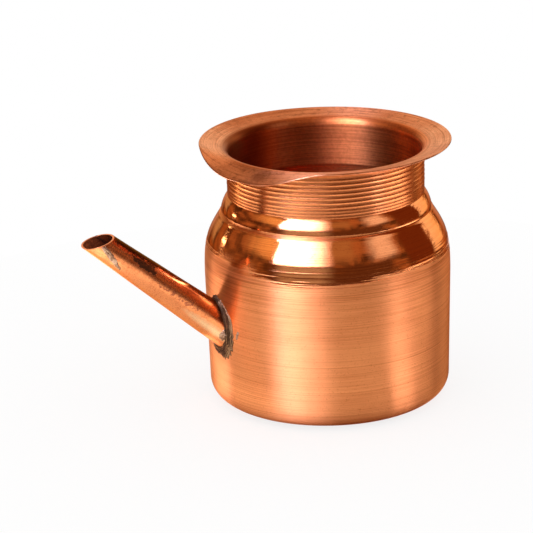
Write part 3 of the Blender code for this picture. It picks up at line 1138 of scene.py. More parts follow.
    def creased(self) -> list[Grid]:
        """Shoulder and bead with turning rings, and a fine groove over a rolled edge."""
        parts = []
        for part, side in ((self.shoulder(), -1.0), (self.bead(), 1.0)):
            away = side * np.linalg.norm(part - self.crease, axis=1)
            groove = bell(away - self.groove_offset, self.groove_width)
            roll = self.roll_share * bell(away - self.roll_offset, self.groove_width)
            depth = self.groove_depth * (groove - roll) + self.rings(part[:, 1])
            parts.append(part - paired(depth, 0.0))
        return parts

    def neck(self, height: float) -> Grid:
        """Ridged neck: bell-shaped crests on a straight wall, low and close near its foot.

        Args:
            height: Height of the tallest crests over the wall.

        Returns:
            Points of the profile above the neck's foot.
        """
        place = np.linspace(0.0, self.ridge_count, self.ridge_count * self.ridge_rows + 1)[1:]
        ridge = np.minimum(np.floor(place), self.ridge_count - 1)
        low = ridge < self.fine_ridges
        foot = self.fine_ridges * self.fine_pitch
        pitch = (self.neck_height - foot) / (self.ridge_count - self.fine_ridges)
        rise = np.where(low, place * self.fine_pitch, foot + (place - self.fine_ridges) * pitch)
        from_crest = (place - ridge - 0.5) * np.where(low, self.fine_pitch, pitch)
        swing = self.ridge_swing * np.cos(self.ridge_beat * ridge + self.ridge_phase)
        tall = np.where(low, self.fine_share, self.ridge_mean + swing)
        radius = self.neck_foot[0] + height * tall * bell(from_crest, self.ridge_crest)
        return paired(radius, self.neck_foot[1] + rise)

    def rim(self) -> Grid:
        """Arc out of the neck, and a sloping rim with a slight dish."""
        flare = arc(self.flare_centre, self.flare_radius, 180.0, 90.0 + self.rim_slope,
                    self.flare_rows)[1:]
        reach = self.neck_foot[0] + self.rim_width - flare[-1, 0]
        share = np.linspace(0.0, 1.0, self.rim_rows)[1:]
        rise = reach * math.tan(math.radians(self.rim_slope)) * share
        rise = rise - self.rim_dish * np.sin(math.pi * share)
        return np.concatenate([flare, flare[-1] + paired(reach * share, rise)])

    def side_radius(self, height: Grid) -> Grid:
        """Outer radius of the vessel's side at a height below the bead's top."""
        side = np.concatenate([self.base_and_wall(), self.shoulder(), self.bead()])
        standing = side[:, 1] > 0.0
        return np.interp(height, side[standing, 1], side[standing, 0])

    def outline(self, outside: bool) -> tuple[Grid, Grid]:
        """A profile from the base to the rim's edge, and the zone of each point.

        Args:
            outside: Whether it gets the rings, the groove and the neck's full ridges.

        Returns:
            Points as (radius, height) rows, and their zones.
        """
        sides = self.creased() if outside else [self.shoulder()[::self.inner_step], self.bead()]
        ridges = self.ridge_height if outside else self.inner_ridges * self.ridge_height
        parts = [self.base_and_wall(), *sides, self.neck(ridges), self.rim()]
        kinds = [Zone.SKIN, Zone.SKIN, Zone.SKIN, Zone.NECK, Zone.MOUTH]
        return np.concatenate(parts), np.repeat(kinds, [len(part) for part in parts])

    def pressed(self, outline: Grid, angles: Grid) -> Grid:
        """Carry a profile round the pot and bend its rim down at the lip.

        Above the neck a point turns about a pivot in the flare, by the lip's press times
        two eased shares: one falls off round the pot, one grows outwards over the flare.
        The rim's edge also waves a little, as a hand-trimmed edge does.

        Args:
            outline: Profile as (radius, height) rows.
            angles: Headings of the columns in radians.

        Returns:
            Radius and height for each row and column.
        """
        profile = np.repeat(outline[:, None, :], len(angles), axis=1)
        grow = np.clip((profile[..., 0] - self.flare_centre[0]) / self.rim_width, 0.0, 1.0)
        rimmed = profile[..., 1] > self.flare_centre[1] - 1e-6
        for axis, waves in enumerate((self.rim_in_and_out, self.rim_up_and_down)):
            profile[..., axis] += np.where(rimmed, grow**2 * waves.at(angles), 0.0)
        pivot = self.flare_centre + np.array([-self.flare_radius / 2, self.flare_radius])
        away = np.abs(np.degrees(turned_by(angles, math.radians(self.lip_heading))))
        span = smooth_step((self.lip_half_span - away) / (self.lip_half_span - self.lip_half_flat))
        share = smooth_step((outline[:, :1] - self.neck_foot[0]) / self.flare_radius)
        turn = np.where(rimmed, -math.radians(self.lip_press) * span * share, 0.0)
        out, up = np.moveaxis(profile - pivot, -1, 0)
        radius = pivot[0] + out * np.cos(turn) - up * np.sin(turn)
        height = pivot[1] + out * np.sin(turn) + up * np.cos(turn)
        return paired(radius, height)

    def lining(self, skin: Grid) -> Grid:
        """The inner face: the outer one moved in by the sheet along its profile's normal.

        The sheet thins towards the rim's edge.
        """
        run = np.gradient(skin, axis=0)
        normal = paired(run[..., 1], -run[..., 0])
        normal /= np.linalg.norm(normal, axis=-1, keepdims=True)
        rows = len(self.rim())
        sheet = np.full(len(skin), self.sheet)
        sheet[-rows:] += (self.edge_sheet - self.sheet) * smooth_step(np.linspace(0.0, 1.0, rows))
        return skin - sheet[:, None, None] * normal

    def surface(self) -> GridSurface:
        """Outer face, rounded edge of the rim and inner face as one closed grid.

        The inner face keeps only every second row of the neck.
        """
        angles = around(self.columns)
        outline, zones = self.outline(outside=True)
        soft, soft_zones = self.outline(outside=False)
        outer = self.pressed(outline, angles)
        inner = self.lining(self.pressed(soft, angles))[::-1]
        neck_rows = (soft_zones == Zone.NECK)[::-1]
        keep = ~neck_rows | (np.cumsum(neck_rows) % 2 == 0)
        turn = np.linspace(0.0, math.pi, self.edge_rows)[1:-1, None, None]
        middle, half = (outer[-1] + inner[0]) / 2, (inner[0] - outer[-1]) / 2
        out = paired(half[..., 1], -half[..., 0])
        edge = middle - half * np.cos(turn) + out * np.sin(turn)
        profile = np.concatenate([outer, edge, inner[keep]])
        rows = polar(profile[..., 0], angles, profile[..., 1])
        slots = np.concatenate([zones, np.full(len(rows) - len(zones), Zone.MOUTH)])
        floor = np.array([0.0, 0.0, self.sheet])
        return GridSurface("copper_vessel", rows, first_pole=np.zeros(3), last_pole=floor,
                           zones=slots)

    def build(self, spout: Spout) -> Item:
        """Make the vessel, cut the spout's hole and dress it.

        Args:
            spout: The spout that goes through the wall.

        Returns:
            The piece.
        """
        finishes = [
            SkinCopper("brushed and polished copper", dulled=0.55, mark=0.26, mark_length=42.0),
            LatheCopper("ridged copper", clean=(0.9, 0.29, 0.096), aged=(0.46, 0.112, 0.032),
                        roughness=0.27, mark=0.26, mark_length=26.0, brushing=0.8, dulled=0.7),
            MouthCopper("satin rim copper", clean=(0.93, 0.41, 0.205), aged=(0.56, 0.165, 0.064),
                        roughness=0.34, mark=0.2, mark_length=20.0, brushing=0.85, dulled=1.0,
                        clouded=0.45, edge=(1.0, 0.74, 0.56)),
        ]
        item = self.surface().piece(*[finish.material() for finish in finishes])
        carve(item, spout.hole_cutter())
        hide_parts("pot_body")
        return item


# The spout and its solder


@dataclass(frozen=True)
class Spout:
    """The taper tube, rolled from sheet, with its open seam and slanting mouth.

    Places on it are (along, angle, radius): millimetres from the wall along the axis,
    radians round the axis from its top towards +Y, and millimetres from the axis. Fields
    are in millimetres and degrees, and what comes after the hole's margin is in this model
    alone: the filed tip, the dents and the burr, the seam's lumps and the points.
    """

    vessel: Vessel
    height: float = 34.0
    rise: float = 40.5
    length: float = 60.4
    root_radius: float = 6.75
    mouth_radius: float = 5.0
    sheet: float = 0.6
    stub: float = 1.5
    mouth_fall: float = 12.8
    mouth_skew: float = 4.9
    seam_angle: float = 73.0
    seam_slit: float = 1.2
    seam_proud: float = 0.16
    hole_margin: float = 0.6

    mouth_round: float = 0.05
    mouth_waves: Ripple = Ripple(0.07, (3, 5, 9), 21)
    filed_depth: float = 0.45
    filed_angle: float = 190.0
    filed_width: float = 34.377
    dents_round: Ripple = Ripple(0.05, (2, 3), 22)
    dent_twist: float = 0.05
    dent_beat: float = 0.16
    dent_phase: float = 0.8
    burr_height: float = 0.28
    burr_place: Span = (20.0, -18.0)
    burr_size: Span = (0.9, 8.0214)
    seam_overlap: float = 0.5
    seam_ends: Span = (0.2, 0.12)
    seam_lumps: Ripple = Ripple(0.07, (1, 2, 5), 31)
    seam_beat: float = 0.35
    cutter_reach: float = 13.0
    sharp_angle: float = 50.0

    columns: int = 132
    rows: int = 96
    seam_columns: int = 24
    seam_rows: int = 160
    cutter_columns: int = 96
    wall_search: float = 30.0
    halvings: int = 40

    @property
    def origin(self) -> Grid:
        """Where the axis leaves the wall."""
        return np.array([-float(self.vessel.side_radius(np.array(self.height))), 0.0, self.height])

    @property
    def axes(self) -> Grid:
        """Unit vectors over the top, across and along the spout, as rows."""
        rise = math.radians(self.rise)
        along = np.array([-math.cos(rise), 0.0, math.sin(rise)])
        top = np.array([math.sin(rise), 0.0, math.cos(rise)])
        return np.stack([top, np.cross(along, top), along])

    def outer(self, along: Grid) -> Grid:
        """Outer radius at a distance along the axis."""
        return self.root_radius + (self.mouth_radius - self.root_radius) * along / self.length

    def place(self, along: Grid, angle: Grid, radius: Grid) -> Grid:
        """Points of the frame for places on the spout."""
        return self.origin + polar(radius, angle, along) @ self.axes

    def meets_wall(self, angle: Grid, gap: Grid | float, height: Grid | float) -> Grid:
        """Distance along the axis at which a line beside the tube has a height over the wall.

        The line keeps a gap to the tube, and halving an interval finds the place.

        Args:
            angle: Angle round the tube.
            gap: Distance from the tube's outer face.
            height: Height over the vessel's outer face, negative inside.

        Returns:
            Distance along the axis in millimetres.
        """
        shape = np.broadcast_shapes(np.shape(angle), np.shape(gap), np.shape(height))
        low, high = np.full(shape, -self.wall_search), np.full(shape, self.wall_search)
        for _ in range(self.halvings):
            along = (low + high) / 2
            point = self.place(along, angle, self.outer(along) + gap)
            over = np.hypot(point[..., 0], point[..., 1]) - self.vessel.side_radius(point[..., 2])
            high = np.where(over > height, along, high)
            low = np.where(over > height, low, along)
        return (low + high) / 2

    def mouth(self, angle: Grid, inset: float) -> Grid:
        """Distance along the axis of the mouth's plane, filed a little short at the tip.

        Args:
            angle: Angle round the tube.
            inset: Distance in from the tube's outer face.

        Returns:
            Distance along the axis in millimetres.
        """
        normal = np.array([-math.tan(math.radians(self.mouth_fall)),
                           -math.tan(math.radians(self.mouth_skew)), 1.0])
        top, side, along = self.axes @ normal
        lean = top * np.cos(angle) + side * np.sin(angle)
        taper = (self.mouth_radius - self.root_radius) / self.length
        level = self.length * along - (self.root_radius - inset) * lean
        filed = self.filed_depth * bell_round(angle, self.filed_angle, self.filed_width)
        return level / (along + taper * lean) - filed + self.mouth_waves.at(angle)

    def dents(self, along: Grid, angle: Grid) -> Grid:
        """Low waves of a tube rolled by hand, and one small burr on its upper side."""
        wave = self.dents_round.at(angle + self.dent_twist * along)
        wave = wave * np.cos(self.dent_beat * along + self.dent_phase)
        burr = self.burr_height * bell(along - self.burr_place[0], self.burr_size[0])
        return wave + burr * bell_round(angle, self.burr_place[1], self.burr_size[1])

    def tube(self) -> GridSurface:
        """Outer face from root to mouth and inner face back, open at the seam.

        At the mouth both faces end in a narrow bevel.
        """
        half = self.seam_slit / 2 / self.root_radius
        seam = math.radians(self.seam_angle)
        angle = np.linspace(seam + half, seam + FULL_TURN - half, self.columns)
        root = self.meets_wall(angle, 0.0, -self.vessel.sheet - self.stub)
        faces = []
        for inset, bevel in ((0.0, -self.mouth_round), (self.sheet, self.mouth_round)):
            along = root + (self.mouth(angle, inset) - root) * eased(self.rows)[:, None]
            radius = self.outer(along) + self.dents(along, angle) - inset
            radius[-1] += bevel
            along[-2] = along[-1] - self.mouth_round
            faces.append(np.stack([along, radius]))
        along, radius = np.concatenate([faces[0], faces[1][:, ::-1]], axis=1)
        turns = np.degrees(turned_by(angle, 0.0)) / 360.0
        chart = paired(along / TUBE_UNIT, turns)
        zones = np.repeat([TubeFace.OUTSIDE, TubeFace.BORE], self.rows)
        zones[self.rows - 1] = TubeFace.EDGE
        return GridSurface("spout_copper_tube", self.place(along, angle, radius),
                           ring_columns=False, ring_rows=True, zones=zones, chart=chart)

    def seam(self) -> GridSurface:
        """A domed strip in the seam: a flat oval section carried from root to mouth."""
        turn = -around(self.seam_columns)
        across = 0.5 * (self.seam_slit + self.seam_overlap) * np.cos(turn)
        through = 0.5 * (self.sheet + 2.0 * self.seam_proud) * np.sin(turn) - self.sheet / 2
        angle = math.radians(self.seam_angle) + across / self.root_radius
        at_root, at_mouth = self.seam_ends
        root = self.meets_wall(angle, through, -self.vessel.sheet - self.stub + at_root)
        end = self.mouth(angle, self.sheet / 2) - at_mouth
        along = root + (end - root) * np.linspace(0.0, 1.0, self.seam_rows)[:, None]
        lumps = self.seam_lumps.at(along * self.seam_beat) * np.maximum(np.sin(turn), 0.0)
        radius = self.outer(along) + self.dents(along, angle) + through + lumps
        return GridSurface.plugged("spout_seam_strip", self.place(along, angle, radius))

    def hole_cutter(self) -> Item:
        """A plain cone, a little wider than the tube, that cuts the hole in the wall."""
        along = np.array([-self.cutter_reach, self.cutter_reach])[:, None]
        rows = self.place(along, around(self.cutter_columns), self.outer(along) + self.hole_margin)
        return GridSurface.plugged("spout_hole", rows).piece()

    def stains(self) -> tuple[Stain, ...]:
        """Heat stains and soot, then painted light: a pale line that paints a highlight along the
        upper side, pale streaks that paint a highlight near the root, and a darker patch that
        paints shade over the lower edge by the mouth.
        """
        black, brown, purple = (0.05, 0.022, 0.011), (0.19, 0.07, 0.03), (0.27, 0.065, 0.034)
        pale, painted_highlight, painted_shade_red = (1.0, 0.68, 0.35), (1.0, 0.5, 0.26), (0.5, 0.13, 0.04)
        return (
            Stain((26.0, 4.0), (46.0, 66.0), brown, 0.9, dull=0.3, mottle=4.0, ragged=0.3),
            Stain((30.0, 96.0), (60.0, 62.0), brown, 0.8, dull=0.4, mottle=4.0, ragged=0.5),
            Stain((24.0, -89.0), (15.0, 15.0), purple, 0.7, dull=0.36, mottle=0.9, ragged=3.0,
                  bare=0.36),
            Stain((46.0, -22.0), (17.0, 26.0), black, 0.9, dull=0.36, mottle=2.6, ragged=1.8),
            Stain((20.0, -4.0), (16.0, 22.0), black, 0.55, dull=0.34, mottle=2.6, ragged=1.6),
            Stain((42.0, -62.0), (6.5, 18.0), black, 0.95, dull=0.45, mottle=2.2, ragged=2.0),
            Stain((2.0, -34.0), (5.0, 46.0), black, 0.8, dull=0.4, mottle=2.2, ragged=1.6),
            # A pale line along the upper side: a painted highlight.
            Stain((25.0, -39.0), (12.0, 7.0), painted_highlight, 0.7, dull=0.24, mottle=1.6, ragged=1.4),
            # Pale streaks near the root, low on the tube: a painted highlight.
            Stain((4.0, -117.0), (15.0, 17.0), pale, 0.28, dull=0.3, mottle=1.6, ragged=0.5),
            Stain((3.0, -117.0), (12.0, 11.0), pale, 0.3, dull=0.28, mottle=1.6, ragged=0.6),
            Stain((2.0, -117.0), (9.0, 6.0), pale, 0.35, dull=0.26, mottle=1.6, ragged=0.7),
            # A darker patch on the lower edge by the mouth: painted shade over a reflection.
            Stain((52.0, -168.0), (16.0, 34.0), painted_shade_red, 0.7, dull=0.42, mottle=2.0, ragged=0.6),
        )

    def build(self) -> list[Item]:
        """Make and dress the tube and the strip in its seam."""
        copper = SpoutCopper("heated spout copper", clean=(0.87, 0.285, 0.098),
                             aged=(0.52, 0.137, 0.043), roughness=0.24, dulled=0.5,
                             stains=self.stains())
        cut = LatheCopper("filed spout edge", clean=(0.98, 0.47, 0.25), aged=(0.8, 0.3, 0.13),
                          roughness=0.36, mark=0.3, brushing=0.0)
        bore = Solder("tarnished spout bore", soot=(0.20, 0.045, 0.014), wiped=(0.52, 0.13, 0.042),
                      bare=0.5, roughness=0.5, metallic=0.72)
        tube = self.tube().piece(copper.material(), cut.material(), bore.material())
        tube.data.set_sharp_from_angle(angle=math.radians(self.sharp_angle))
        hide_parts("spout_tube")
        solder = Solder("seam solder", soot=(0.14, 0.04, 0.016), wiped=(0.38, 0.12, 0.05),
                        bare=0.45)
        seam = self.seam().piece(solder.material())
        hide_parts("spout_seam_solder")
        return [tube, seam]


@dataclass(frozen=True)
class Smear:
    """A thin splash of solder with a ragged edge, lying on the tube or on the wall.

    Attributes:
        name: Name of the piece.
        carrier: What it lies on.
        place: Millimetres along the tube, or height on the wall.
        angle: Degrees round the tube or round the pot.
        size: Half length and half width in millimetres.
        tilt: Degrees from the length's own direction.
        seed: Seed of its ragged edge; the next one is that of its lumps.
        thickness: Thickness in the middle, in millimetres.
        sink: How deep its back lies in the carrier, in millimetres.
        lift: How far all of it is lifted, in millimetres.
        swell: Power of the curve from its edge to its middle.
        from_mouth: How far it stays from the tube's mouth, in millimetres.
        crowd: How sharply it stops there, to a millimetre.
        columns: Points round it.
        rows: Rows of its top and of its back.
        middle: Share of its size where the rows start.
    """

    name: str
    carrier: Carrier
    place: float
    angle: float
    size: Span
    tilt: float
    seed: int
    thickness: float = 0.22
    sink: float = 0.1
    lift: float = 0.01
    swell: float = 0.6
    from_mouth: float = 0.3
    crowd: float = 3.0
    columns: int = 72
    rows: tuple[int, int] = (14, 8)
    middle: float = 0.06

    def surface(self, vessel: Vessel, spout: Spout) -> GridSurface:
        """A lens with a ragged rim: its top swells over the carrier, its back sinks under.

        On the tube it stops short of the mouth, by a soft minimum.

        Args:
            vessel: The pot, which carries a splash on the wall.
            spout: The spout, which carries a splash on the tube.

        Returns:
            The closed surface.
        """
        turn = around(self.columns)
        top, back = self.rows
        share = np.concatenate([np.linspace(self.middle, 1.0, top),
                                np.linspace(1.0, self.middle, back)])[:, None]
        ragged = 1.0 + Ripple(0.5, (2, 3, 5, 8, 13, 19), self.seed).at(turn) * share
        far = self.size[0] * share * ragged * np.cos(turn)
        side = self.size[1] * share * ragged * np.sin(turn)
        tilt = math.radians(self.tilt)
        up = far * math.cos(tilt) - side * math.sin(tilt)
        over = far * math.sin(tilt) + side * math.cos(tilt)
        lumps = 0.8 + Ripple(0.35, (3, 4, 7), self.seed + 1).at(turn + 3.0 * share)
        dome = self.thickness * (1.0 - share**2) ** self.swell * lumps
        height = np.where(np.arange(top + back)[:, None] < top, dome, -self.sink) + self.lift
        if self.carrier is Carrier.TUBE:
            along = self.place + up
            angle = math.radians(self.angle) + over / spout.outer(along)
            short = spout.mouth(angle, 0.0) - self.from_mouth - along
            along = along + short - np.logaddexp(0.0, self.crowd * short) / self.crowd
            radius = spout.outer(along) + spout.dents(along, angle) + height
            return GridSurface.plugged(self.name, spout.place(along, angle, radius))
        radius = vessel.side_radius(self.place + up)
        angle = math.radians(self.angle) + over / radius
        return GridSurface.plugged(self.name, polar(radius + height, angle, self.place + up))


@dataclass(frozen=True)
class RootSolder:
    """The ragged ring of solder that holds the spout in the wall, and its splashes.

    Sizes are in millimetres and angles in degrees round the tube from its top. Reach is
    how far solder lies out over the wall, rise how far it climbs up the tube.
    """

    vessel: Vessel
    spout: Spout
    reach: float = 1.9
    reach_waves: Ripple = Ripple(0.6, (5, 9, 16, 27, 41), 41)
    near_reach: float = 2.1
    near_angle: float = -85.0
    near_width: float = 62.0
    top_slack: float = 0.8
    fray: float = 0.7
    fray_angle: float = -134.0
    fray_width: float = 42.0
    fray_waves: Ripple = Ripple(1.0, (31, 43, 57, 73), 44)
    rise: float = 0.45
    rise_waves: Ripple = Ripple(0.22, (3, 6, 10, 15), 42)
    rise_power: float = 1.9
    top_rise: float = 0.7
    bulge: float = 0.34
    bulge_power: float = 0.6
    lumps: Ripple = Ripple(0.16, (5, 9, 14), 43)
    lump_twist: float = 1.5
    inner_reach: float = 1.2
    inner_rise: float = 0.8
    sink: float = 0.12
    grip: float = -0.05
    grip_heights: Span = (0.1, -0.6)
    columns: int = 320
    outer_rows: int = 19
    inner_rows: int = 7

    def ring(self) -> GridSurface:
        """A spool-shaped section carried round the tube where it meets the wall.

        The outer fillet runs from the wall up to the tube, a film goes through the hole,
        and a smaller fillet lies inside. Reach and rise swell on the near side and at the
        top, and waves round the ring make them uneven.
        """
        angle = around(self.columns)
        even = np.ones_like(angle)
        top = smooth_step(0.5 + 0.5 * np.cos(angle))
        frayed = bell_round(angle, self.fray_angle, self.fray_width)
        reach = self.reach + self.near_reach * bell_round(angle, self.near_angle, self.near_width)
        reach = reach + self.reach_waves.at(angle) - self.top_slack * top**2
        reach = reach + self.fray * frayed * (1.0 + self.fray_waves.at(angle))
        rise = self.rise + self.top_rise * top + self.rise_waves.at(angle)
        share = np.linspace(0.0, 1.0, self.outer_rows)[:, None]
        lump = np.sin(math.pi * share) * self.lumps.at(angle + self.lump_twist * share)
        bulge = self.bulge * np.sin(math.pi * share**self.bulge_power)
        turn = np.linspace(0.0, math.pi / 2, self.inner_rows)[:, None]
        inside = -self.vessel.sheet
        through = np.array([inside + self.sink, -self.sink, -self.sink])[:, None]
        film = np.full((2, 1), self.spout.hole_margin + self.sink)
        gap = np.concatenate([reach * (1.0 - share), np.full((2, 1), self.grip) * even,
                              self.inner_reach * (1.0 - np.cos(turn)) * even,
                              film * even, reach[None]])
        height = np.concatenate([rise * share**self.rise_power + bulge + lump,
                                 np.array(self.grip_heights)[:, None] * even,
                                 inside - self.inner_rise * (1.0 - np.sin(turn)) * even,
                                 through * even])
        along = self.spout.meets_wall(angle, gap, height)
        rows = self.spout.place(along, angle, self.spout.outer(along) + gap)
        return GridSurface("spout_root_ring", rows, ring_rows=True)

    def splashes(self) -> list[Smear]:
        """The wiped smear by the mouth, the patch on the root and the fleck on the wall."""
        return [
            Smear("mouth_solder_smear", Carrier.TUBE, 54.8, -110.0, (5.4, 1.3), 16.0, 51),
            Smear("root_solder_patch", Carrier.TUBE, -1.5, -108.0, (2.8, 1.6), 66.0, 52, 0.5),
            Smear("wall_solder_fleck", Carrier.WALL, 32.8, 196.4, (1.5, 0.7), 20.0, 53),
        ]

    def build(self) -> list[Item]:
        """Make and dress the ring and the splashes."""
        dark = Solder("sooty root solder", soot=(0.055, 0.027, 0.013), wiped=(0.34, 0.18, 0.085),
                      edge=(0.4, 0.24, 0.13), bare=0.42, roughness=0.56, metallic=0.92,
                      streaks=(16.0, 26.0)).material()
        ring = self.ring().piece(dark)
        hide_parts("spout_root_solder")
        pale = Solder("wiped solder", soot=(0.22, 0.10, 0.05), wiped=(0.50, 0.29, 0.175), bare=0.55,
                      roughness=0.42).material()
        pieces = [ring]
        for smear in self.splashes():
            item = smear.surface(self.vessel, self.spout).piece(pale)
            pieces.append(item)
        return pieces


# Studio and camera


def swung(first: Grid, second: Grid, angle: float) -> tuple[Grid, Grid]:
    """Two unit vectors turned in their plane, the first towards the second."""
    across, ahead = math.sin(angle), math.cos(angle)
    return first * ahead + second * across, second * ahead - first * across


@dataclass(frozen=True)
class PhotoCamera:
    """The camera of the photograph, from where the pot's middle falls in its frame.

    Attributes:
        target: Height in millimetres of the point that the camera is measured from.
        distance: Distance to that point in millimetres.
        elevation: Angle over the horizon in degrees.
        turn: Angle round the pot in degrees, 0 looking along +Y.
        roll: Tilt of the frame in degrees.
        focal_pixels: Focal length in pixels of the frame.
        target_pixel: Where the point falls in the frame.
        frame_pixels: Side of the square frame.
        sensor: Width of the sensor in millimetres.
        clip: Nearest and farthest distance that it sees, in metres.
    """

    target: float = 36.8
    distance: float = 963.84
    elevation: float = 19.16
    turn: float = -26.4
    roll: float = -1.22
    focal_pixels: float = 2559.72
    target_pixel: Span = (327.43, 296.90)
    frame_pixels: float = 533.0
    sensor: float = 36.0
    clip: Span = (0.01, 50.0)

    def build(self) -> Item:
        """Make the camera and give it to the scene."""
        data = bpy.data.cameras.new("photo_camera")
        data.sensor_width = self.sensor
        data.lens = self.focal_pixels * self.sensor / self.frame_pixels
        data.clip_start, data.clip_end = self.clip
        camera = bpy.data.objects.new("photo_camera", data)
        bpy.context.scene.collection.objects.link(camera)
        bpy.context.scene.camera = camera
        camera.matrix_world = self.matrix()
        return camera

    def matrix(self) -> Matrix:
        """Aim at the target, swing until it falls on its pixel, roll, then go round the pot."""
        rise = math.radians(self.elevation)
        forward = np.array([0.0, math.cos(rise), -math.sin(rise)])
        right = np.array([1.0, 0.0, 0.0])
        up = np.cross(right, forward)
        place = np.array([0.0, 0.0, self.target]) - self.distance * forward
        middle = self.frame_pixels / 2
        pan, tip = (math.atan2(pixel - middle, self.focal_pixels) for pixel in self.target_pixel)
        right, forward = swung(right, forward, pan)
        forward, up = swung(forward, up, tip)
        right, up = swung(right, up, math.radians(self.roll))
        aim = Matrix((right, up, -forward)).transposed().to_4x4()
        aim.translation = Vector(place) * MM
        return Matrix.Rotation(math.radians(self.turn), 4, "Z") @ aim


@dataclass(frozen=True)
class Card:
    """A glowing or dark card of the studio, seen only in reflections.

    Its sides are angles in degrees seen from the pot: round it from the camera, positive
    to the picture's right, and over the horizon.

    Attributes:
        name: Name of the card.
        sides: Left and right edge.
        rises: Lower and upper edge.
        glow: Brightness.
        fades: Degrees over which the left, right, lower and upper edges fade out.
        tint: Colour of the card.
        distance: Metres from the pot.
        ragged: Degrees by which its edges wander.
        slant: Degrees that it leans to the right for each degree that it rises.
        outward: Whether it shows only to what lies beyond it, and not to the pot's own wall.
        centre: Height of the sphere's middle in millimetres.
        points: Points along each edge.
    """

    name: str
    sides: Span
    rises: Span
    glow: float
    fades: tuple[float, float, float, float] = (8.0, 8.0, 8.0, 8.0)
    tint: Colour = (1.0, 1.0, 1.0)
    distance: float = 1.3
    ragged: float = 0.0
    slant: float = 0.0
    outward: bool = False
    centre: float = 40.0
    points: int = 25

    def build(self, camera_heading: float) -> None:
        """Make the card as a piece of a sphere round the pot, charted in degrees.

        Args:
            camera_heading: Heading of the camera seen from the pot, in degrees.
        """
        side, rise = np.meshgrid(np.linspace(*self.sides, self.points),
                                 np.linspace(*self.rises, self.points))
        lean = self.slant * (rise - np.mean(self.rises))
        heading, tilt = np.radians(camera_heading + side + lean), np.radians(rise)
        rows = polar(np.cos(tilt), heading, np.sin(tilt)) * self.distance / MM
        rows[..., 2] += self.centre
        surface = GridSurface(self.name, rows, ring_columns=False, flip=True,
                              chart=paired(side, rise))
        colour = tuple(self.glow * part for part in self.tint)
        only_reflected(surface.piece(faded_glow(self.name, colour, (*self.sides, *self.rises),
                                                self.fades, self.ragged, self.outward)))


@dataclass(frozen=True)
class Mat:
    """A pale or dark mat on the table, seen only in reflections.

    Its lines run the way the pot's upright wall mirrors the camera: each starts at a
    place of the wall and leaves it at the mirror angle.

    Attributes:
        name: Name of the mat.
        sides: Headings of its outer lines, in degrees round the pot from the camera.
        colour: What it shows.
        fades: Degrees over which the left and right edges fade out.
        lift: Height over the table in millimetres.
        reach: Where its lines start and end, in millimetres from the wall.
        rise: How much higher its lines end than they start, in millimetres.
        wall: Radius of the wall in millimetres.
        end_fade: Millimetres over which its near and far edges fade out.
        points: Points across it and along a line.
    """

    name: str
    sides: Span
    colour: Colour
    fades: Span
    lift: float
    reach: Span = (6.0, 180.0)
    rise: float = 0.0
    wall: float = Vessel.body_radius
    end_fade: float = 4.0
    points: tuple[int, int] = (61, 3)

    def build(self, camera_heading: float) -> None:
        """Make the mat, charted in degrees and millimetres.

        Args:
            camera_heading: Heading of the camera seen from the pot, in degrees.
        """
        side, share = np.meshgrid(np.linspace(*self.sides, self.points[0]),
                                  np.linspace(0.0, 1.0, self.points[1]))
        start, end = self.reach
        length = math.hypot(end - start, self.rise)
        foot = np.radians(camera_heading + side / 2)
        rows = polar(self.wall, foot, self.lift + self.rise * share)
        rows += polar(start + (end - start) * share, np.radians(camera_heading + side), 0.0)
        surface = GridSurface(self.name, rows, ring_columns=False,
                              chart=paired(side, length * share))
        only_reflected(surface.piece(faded_glow(self.name, self.colour, (*self.sides, 0.0, length),
                                                (*self.fades, self.end_fade, self.end_fade))))


def faded_glow(name: str, colour: Colour, edges: tuple[float, float, float, float],
               fades: tuple[float, float, float, float], ragged: float = 0.0,
               outward: bool = False) -> Finish:
    """A glow that fades at the edges of a chart and lets what is behind it through there.

    Args:
        name: Name of the material.
        colour: Colour and brightness of the glow.
        edges: Least and greatest u, then least and greatest v.
        fades: Breadth of the fade at each edge.
        ragged: How far noise moves the edges of u.
        outward: Whether only its back glows.

    Returns:
        The material.
    """
    sheet = NodeSheet(name)
    u, v = sheet.chart()
    if ragged:
        slow, fast = WANDER
        wander = sheet.noise(sheet.combined(sheet.times(u, slow), sheet.times(v, fast)))
        u = sheet.total((u, 1.0), (wander, 4.0 * ragged), (-2.0 * ragged, 1.0))
    left, right, low, high = edges
    share = sheet.times(
        sheet.between(u, (left, left + fades[0]), (right, right - fades[1])),
        sheet.between(v, (low, low + fades[2]), (high, high - fades[3])))
    if outward:
        back = sheet.node("ShaderNodeNewGeometry", {}).outputs["Backfacing"]
        share = sheet.times(share, back)
    clear = sheet.node("ShaderNodeBsdfTransparent", {}).outputs[0]
    return sheet.plain(sheet.either(share, clear, sheet.glow(colour)))


def only_reflected(item: Item) -> None:
    """Let a stage object show in gloss alone: not to the camera, and throwing no shade."""
    item.visible_camera = False
    item.visible_diffuse = False
    item.visible_shadow = False
    item.visible_transmission = False


